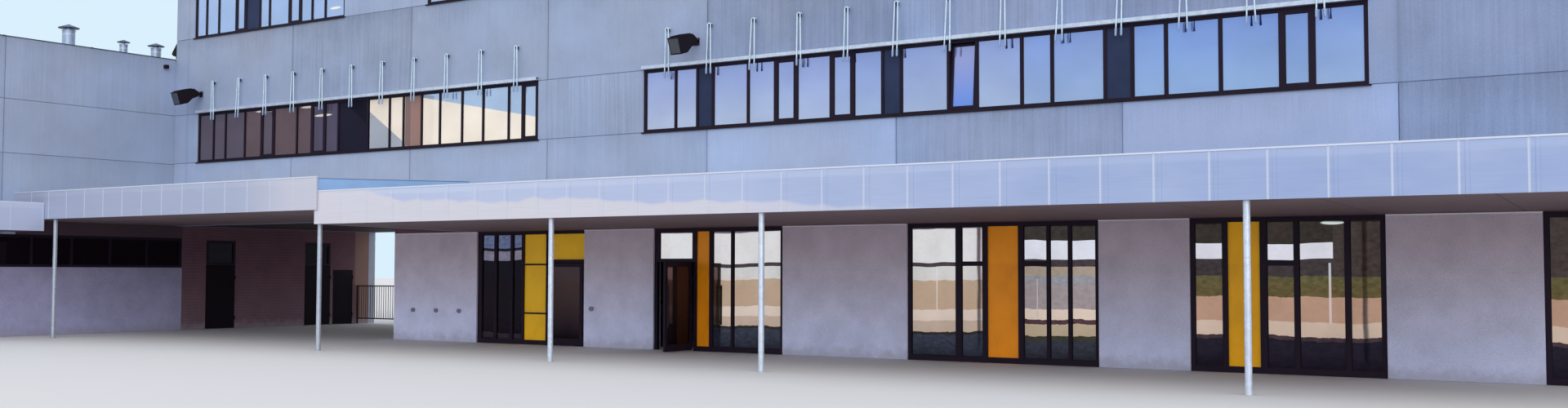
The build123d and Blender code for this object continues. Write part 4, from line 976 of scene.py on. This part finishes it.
def makeHanger(v, leftLean, rightLean):
    y = frontY - v["standoff"]
    level = v["top"] - v["rod"]
    springing = level - v["bend"]
    clearSelection()
    bpy.ops.mesh.primitive_circle_add(vertices=8, radius=v["rod"], location=(v["bend"], y, springing))
    rod = bpy.context.object
    applyPlace()
    startEdit()
    selectAll()
    bpy.ops.mesh.spin(steps=7, angle=math.pi, center=(0, y, springing), axis=(0, 1, 0))
    selectAll()
    bpy.ops.mesh.remove_doubles(threshold=mergeDistance)
    lowest = min(vert.co.z for vert in bmesh.from_edit_mesh(rod.data).verts)
    forkTop = v["foot"] + v["forkLength"]
    share = (springing - forkTop) / (springing - v["foot"])
    wide = v["forkWidth"] / v["rod"]
    for side, lean in ((1, rightLean), (-1, leftLean)):
        pick(rod, lambda c: c.x * side > 0 and abs(c.z - lowest) < 0.0002)
        extrude(lean * share, 0, forkTop - springing)
        extrude(0, 0, 0)
        shoulder = (side * v["bend"] + lean * share, y, forkTop)
        bpy.ops.transform.resize(value=(wide, wide, 1.0), center_override=shoulder)
        for part in (v["forkStraight"], 1 - v["forkStraight"]):
            extrude(lean * (1 - share) * part, 0, -v["forkLength"] * part)
        foot = (side * v["bend"] + lean, y, v["foot"])
        bpy.ops.transform.resize(value=(v["footTaper"], v["footTaper"], 1.0), center_override=foot)
        bpy.ops.mesh.edge_face_add()
    selectAll()
    bpy.ops.mesh.normals_make_consistent(inside=False)
    endEdit()
    # the eye bolt runs from a washer on the wall to the top of the bend, with a nut on the washer
    length = v["standoff"] - v["rod"] * 0.5
    bolt = addRound(8, v["boltRadius"], length, (0, frontY - length / 2, level))
    nutY = frontY - v["washerDepth"] - v["nutDepth"] / 2
    nut = addRound(6, v["nut"], v["nutDepth"], (0, nutY, level), v["nutEdge"])
    washer = addRound(12, v["washer"], v["washerDepth"], (0, frontY - v["washerDepth"] / 2, level))
    return joined([rod, bolt, nut, washer])


def makeSaddle(v):
    # the dark sleeve on the bolt behind the bend of a hanger, with a flange outside; its dark paint also
    # stands for the shade behind the bend
    y = frontY - v["standoff"] + v["saddleBack"]
    springing = v["top"] - v["rod"] - v["bend"]
    saddle = addRound(10, v["saddleRadius"], v["saddleDepth"], (0, y, springing))
    startEdit()
    pick(saddle, lambda c: c.z < springing - v["saddleRadius"] * 0.5)
    bpy.ops.transform.translate(value=(0, 0, -v["saddleReach"]))
    pick(saddle, lambda c: c.y < y)
    extrude(0, 0, 0)
    bpy.ops.transform.resize(value=v["flangeGrowth"], center_override=(0, y, springing))
    extrude(0, -v["flange"], 0)
    selectAll()
    bpy.ops.mesh.remove_doubles(threshold=mergeDistance)
    bpy.ops.mesh.normals_make_consistent(inside=False)
    endEdit()
    return saddle


def makeHangerSet(v):
    kinds = [makeHanger(v, *leans) for leans in v["leans"]]
    saddle = makeSaddle(v)
    places = [Matrix.Translation((cornerX + start + i * spacing, 0, lift))
              for start, spacing, count, lift in v["rows"] for i in range(count)]
    hangers = repeated(kinds, places)
    bpy.ops.object.shade_smooth_by_angle(angle=math.radians(v["smoothAngle"]))
    settle(hangers, "windowHangers", hangerSteel)
    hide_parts("sunshade_hangers")
    settle(repeated([saddle], places), "hangerSaddles", saddleAndShadeMaterial)


makeHangerSet(hangerValues)

# light metal drip trims where the rendered piers meet the soffit
pierTrimValues = {
    "piers": [(5.245, 6.87), (8.785, 9.915), (11.825, 13.463), (15.665, 16.596), (18.4, 19.67),
              (20.875, 21.125)],
    "drop": 0.004, "height": 0.013, "proud": 0.007, "edge": 0.002,
}


def makePierTrims(v):
    trims = []
    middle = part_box("canopy_soffits")[0][2] - v["drop"] - v["height"] / 2
    for left, right in v["piers"]:
        place = at((left + right) / 2, -v["proud"] / 2, middle)
        trim = addBar((right - left, v["proud"], v["height"]), place)
        trims.append(bevelled(trim, lambda c: c.y < frontY - v["proud"] / 2, v["edge"]))
    settle(joined(trims), "pierHeadTrims", trimMaterial)


makePierTrims(pierTrimValues)

# covers over the joints between coping lengths
jointCoverValues = {
    "length": 0.034, "over": 0.0025, "drop": 0.01, "edge": 0.0012,
    "coping": 0.161, "spacing": 1.3,
    # each run: start, end (from the inner corner), level of the coping's top
    "runs": [((0.0, 0.0645), (21.125, 0.0645), 6.475), ((0.0, 4.1355), (21.125, 4.1355), 6.475),
             ((0.0645, 0.2), (0.0645, 4.0), 6.475), ((21.0605, 0.2), (21.0605, 4.0), 6.475),
             ((-0.0645, -5.5), (-0.0645, -0.1), 4.435), ((-3.9355, -5.5), (-3.9355, 4.2), 4.435),
             ((-3.8, -5.4855), (-0.2, -5.4855), 4.435), ((-3.8, 4.1355), (-0.2, 4.1355), 4.435)],
}


def makeJointCovers(v):
    size = (v["length"], v["coping"] + 2 * v["over"], v["over"] + v["drop"])
    cover = addBar(size, (0, 0, (v["over"] - v["drop"]) / 2))
    bevelled(cover, lambda c: c.z > 0, v["edge"])
    places = []
    for start, end, level in v["runs"]:
        run = Vector((end[0] - start[0], end[1] - start[1], 0))
        count = max(2, round(run.length / v["spacing"]))
        turn = Matrix.Rotation(math.pi / 2 if abs(run.y) > abs(run.x) else 0.0, 4, 'Z')
        for i in range(1, count):
            places.append(Matrix.Translation(at(*start, level) + run * (i / count)) @ turn)
    settle(repeated([cover], places), "copingJointCovers", copingMaterial)


makeJointCovers(jointCoverValues)

# floodlight heads: cooling fins on the hood, a framed lens in the mouth and bolts on the wall plate
floodValues = {
    "places": [(10.564, 3.794), (0.679, 3.816)],
    "width": 0.16, "finCount": 7, "fin": 0.005, "finHeight": 0.016, "finSunk": 0.001,
    "finFoot": (-0.455, -0.01), "finHead": (-0.215, 0.059), "finTaper": (0.7, 0.88, 1.0),
    "lensTop": (-0.4845, -0.034), "lensFoot": (-0.4255, -0.199), "lensRim": 0.012, "lensProud": 0.006,
    "lensSunk": 0.005, "lensPlay": 0.008, "plate": 0.09, "plateDepth": 0.012,
    "boltInset": 0.014, "boltRadius": 0.0055, "boltHead": 0.004, "boltSunk": 0.001,
    "boltTaper": (0.85, 1.0, 0.85),
}


def makeFins(v):
    (y0, z0), (y1, z1) = v["finFoot"], v["finHead"]
    length = math.hypot(y1 - y0, z1 - z0)
    tilt = Matrix.Rotation(math.atan2(z1 - z0, y1 - y0), 4, 'X')
    fin = addBar((v["fin"], length, v["finHeight"]), (0, 0, v["finHeight"] / 2 - v["finSunk"]))
    # the fins taper towards both ends
    narrowed(fin, lambda c: c.z > 0, v["finTaper"], (0, 0, v["finHeight"]))
    places = []
    for x, z in v["places"]:
        for i in range(v["finCount"]):
            across = (i / (v["finCount"] - 1) - 0.5) * (v["width"] - 3 * v["fin"])
            places.append(Matrix.Translation(at(x + across, (y0 + y1) / 2, z + (z0 + z1) / 2)) @ tilt)
    settle(repeated([fin], places), "floodlightFins", lampMaterial)


def makeLenses(v):
    (y0, z0), (y1, z1) = v["lensTop"], v["lensFoot"]
    height = math.hypot(y1 - y0, z1 - z0)
    tilt = Matrix.Rotation(math.atan2(y1 - y0, z0 - z1), 4, 'X')
    clearSelection()
    bpy.ops.mesh.primitive_plane_add(size=1, rotation=(math.pi / 2, 0, 0))
    lens = bpy.context.object
    applyPlace()
    lens.data.transform(Matrix.Diagonal((v["width"] - v["lensPlay"], 1.0, height, 1.0)))
    startEdit()
    selectAll()
    # the rim stands proud and the glass lies back in it
    extrude(0, -v["lensProud"], 0)
    bpy.ops.mesh.inset(thickness=v["lensRim"])
    extrude(0, v["lensSunk"], 0)
    endEdit()
    places = [Matrix.Translation(at(x, (y0 + y1) / 2, z + (z0 + z1) / 2)) @ tilt for x, z in v["places"]]
    settle(repeated([lens], places), "floodlightLenses", lensMaterial)


def makePlateBolts(v):
    bolt = addRound(6, v["boltRadius"], v["boltHead"] + v["boltSunk"])
    narrowed(bolt, lambda c: c.y < 0, v["boltTaper"])
    reach = v["plate"] / 2 - v["boltInset"]
    places = [Matrix.Translation(at(x + right, -v["plateDepth"] - v["boltHead"] / 2, z + up))
              for x, z in v["places"] for right in (-reach, reach) for up in (-reach, reach)]
    settle(repeated([bolt], places), "floodlightBolts", fittingMaterial)


makeFins(floodValues)
makeLenses(floodValues)
makePlateBolts(floodValues)

# a rolled rim round each wall fitting and a sunk middle in its cap
fittingValues = {
    "places": [(5.65, 0.425), (6.105, 0.425), (6.55, 0.425), (8.92, 0.49)],
    "radius": 0.03, "rim": 0.0035, "depth": 0.026,
    "cap": 0.019, "capDepth": 0.006, "capSunk": 0.001, "capEdge": 0.0015, "capRim": 0.006, "dish": 0.002,
}


def makeFittingRims(v):
    clearSelection()
    bpy.ops.mesh.primitive_torus_add(location=(0, -v["depth"], 0), rotation=(math.pi / 2, 0, 0),
                                     major_segments=20, minor_segments=6,
                                     major_radius=v["radius"] - v["rim"], minor_radius=v["rim"])
    rim = bpy.context.object
    applyPlace()
    capY = -v["depth"] - v["capDepth"] / 2 + v["capSunk"]
    cap = addRound(16, v["cap"], v["capDepth"], (0, capY, 0))
    front = capY - v["capDepth"] / 3
    startEdit()
    pick(cap, lambda c: c.y < front)
    bpy.ops.mesh.bevel(offset=v["capEdge"], segments=2)
    pick(cap, lambda c: c.y < front)
    bpy.ops.mesh.inset(thickness=v["capRim"])
    extrude(0, v["dish"], 0)
    endEdit()
    places = [Matrix.Translation(at(x, 0, z)) for x, z in v["places"]]
    settle(repeated([joined([rim, cap])], places), "wallFittingRims", fittingMaterial)


makeFittingRims(fittingValues)

# cowls: a clamp band round each pipe and three straps up to its hat
cowlValues = {
    "cowls": [(-1.5, -0.96, 0.195, 4.95), (-1.5, 0.0, 0.125, 4.85), (-1.5, 0.6, 0.165, 4.865)],
    "throat": 0.034, "band": 0.016, "bandDrop": 0.105, "bandProud": 0.003, "bandSunk": 0.001,
    "straps": 3, "firstStrap": 0.5, "strapWidth": 0.012, "strapThick": 0.002, "strapOff": 0.008,
    "strapLength": 0.05, "strapDrop": 0.005, "strapReach": 1.35, "lip": 0.004,
}


def makeCowlStraps(v):
    pieces = []
    for x, y, diameter, head in v["cowls"]:
        radius = diameter / 2
        foot = Matrix.Translation(at(x, y, 0))
        clearSelection()
        bpy.ops.mesh.primitive_cylinder_add(vertices=24, radius=radius + v["bandProud"], depth=v["band"],
                                            end_fill_type='NOTHING', location=at(x, y, head - v["bandDrop"]))
        band = bpy.context.object
        applyPlace()
        thicken(band, v["bandProud"] + v["bandSunk"], -1.0)
        pieces.append(band)
        top = head - v["throat"] - v["strapDrop"]
        for i in range(v["straps"]):
            # a strap rises past the throat and bends out under the hat
            strap = addBar((v["strapThick"], v["strapWidth"], v["strapLength"]),
                           (radius + v["strapOff"] + v["strapThick"] / 2, 0, top - v["strapLength"] / 2))
            startEdit()
            pick(strap, lambda c: c.z > top - 0.001)
            extrude(0, 0, head - top - v["lip"])
            pick(strap, lambda c: c.z > head - 0.005)
            extrude(radius * (v["strapReach"] - 1.0) * 0.6, 0, v["lip"])
            endEdit()
            angle = 2 * math.pi * i / v["straps"] + v["firstStrap"]
            strap.data.transform(foot @ Matrix.Rotation(angle, 4, 'Z'))
            pieces.append(strap)
    settle(joined(pieces), "cowlStraps", galvanised)


makeCowlStraps(cowlValues)

# glazing beads round every pane: thin frames against the face of the glass
beadValues = {
    "width": 0.005, "depth": 0.008, "sunk": 0.001,
    "glass": [  # node, axis it faces along, which way, body, name
        ("strip_window_glass", 1, -1, "root", "stripWindowBeads"),
        ("glazing_glass", 1, -1, "root", "glazingBeads"),
        ("back_window_glass", 1, 1, "root", "backWindowBeads"),
        ("wing_window_glass", 0, 1, "root", "wingWindowBeads"),
        ("entrance_door_1_glass", 1, -1, "entrance_leaf_1", "entranceBeads1"),
        ("entrance_door_2_glass", 1, -1, "entrance_leaf_2", "entranceBeads2"),
    ],
}


def paneBoxes(node):
    # the box of each separate pane in a glass node
    mesh = bmesh.new()
    mesh.from_mesh(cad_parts[node].data)
    bmesh.ops.remove_doubles(mesh, verts=mesh.verts, dist=0.0001)
    seen, boxes = set(), []
    for vert in mesh.verts:
        if vert in seen:
            continue
        stack, places = [vert], []
        seen.add(vert)
        while stack:
            corner = stack.pop()
            places.append(corner.co.copy())
            for edge in corner.link_edges:
                other = edge.other_vert(corner)
                if other not in seen:
                    seen.add(other)
                    stack.append(other)
        boxes.append([[most(place[k] for place in places) for k in range(3)] for most in (min, max)])
    mesh.free()
    return boxes


def makeBeads(v, node, axis, way, body, name):
    clearSelection()
    bpy.ops.mesh.primitive_plane_add(size=1)
    pane = bpy.context.object
    places = []
    for low, high in paneBoxes(node):
        size = [b - a for a, b in zip(low, high)]
        # a pane in a wall across this one faces the other way round
        facing = axis if size[axis] < size[1 - axis] else 1 - axis
        side = way if facing == axis else 1
        if node == "wing_window_glass" and facing == 0 and low[0] < cornerX - 2.0:
            side = -1
        middle = [(a + b) / 2 for a, b in zip(low, high)]
        middle[facing] = (high[facing] - v["sunk"]) if side > 0 else (low[facing] + v["sunk"])
        turn = math.pi / 2 * (side + 1 if facing == 1 else side)
        place = Matrix.Translation(middle) @ Euler((math.pi / 2, 0, turn)).to_matrix().to_4x4()
        places.append(place @ Matrix.Diagonal((size[1 - facing], size[2], 1.0, 1.0)))
    beads = repeated([pane], places)
    startEdit()
    selectAll()
    bpy.ops.mesh.inset(thickness=v["width"], use_individual=True)
    bpy.ops.mesh.delete(type='FACE')
    endEdit()
    thicken(beads, v["depth"] + v["sunk"], 1.0)
    settle(beads, name, beadMaterial, body)


for setup in beadValues["glass"]:
    makeBeads(beadValues, *setup)
print("window details modelled")

# studio floor, light and background
studioLook = {
    "floor": (0.7, 0.7, 0.72), "floorSize": 300, "floorDrop": 0.002,
    "background": (0.7, 0.87, 0.985), "fill": 1.0, "fillColour": (0.97, 0.98, 1.0),
    "keyStrength": 1.0, "keyAngle": 55.0, "keyTurn": (66.0, 0.0, 38.0),
}


def makeStudio(v):
    clearSelection()
    bpy.ops.mesh.primitive_plane_add(size=v["floorSize"], location=(0, 0, -v["floorDrop"]))
    floor = bpy.context.object
    floor.name = "studioFloor"
    floor.data.materials.append(finishMaterial(newMaterial("studioFloor", 0.9, specular=0.1), v["floor"]))
    sunData = bpy.data.lights.new("softKey", 'SUN')
    sunData.energy = v["keyStrength"]
    sunData.angle = math.radians(v["keyAngle"])
    sun = bpy.data.objects.new("softKey", sunData)
    bpy.context.scene.collection.objects.link(sun)
    sun.rotation_euler = [math.radians(a) for a in v["keyTurn"]]
    world = bpy.data.worlds.new("studioSky")
    bpy.context.scene.world = world
    world.use_nodes = True
    nodes, links = world.node_tree.nodes, world.node_tree.links
    plain = nodes["Background"]
    plain.inputs[0].default_value = (*v["fillColour"], 1.0)
    plain.inputs[1].default_value = v["fill"]
    # the eye, gloss and what shows through glass meet the pale background
    seen = nodes.new("ShaderNodeBackground")
    seen.inputs[0].default_value = (*v["background"], 1.0)
    seen.inputs[1].default_value = 1.0
    rays = nodes.new("ShaderNodeLightPath").outputs
    most = rays["Is Camera Ray"]
    for name in ("Is Glossy Ray", "Is Transmission Ray"):
        higher = nodes.new("ShaderNodeMath")
        higher.operation = 'MAXIMUM'
        links.new(most, higher.inputs[0])
        links.new(rays[name], higher.inputs[1])
        most = higher.outputs[0]
    mixer = nodes.new("ShaderNodeMixShader")
    for i, socket in enumerate((most, plain.outputs[0], seen.outputs[0])):
        links.new(socket, mixer.inputs[i])
    links.new(mixer.outputs[0], nodes["World Output"].inputs[0])
    bpy.context.scene.view_settings.view_transform = 'Standard'


makeStudio(studioLook)
print("studio ready")
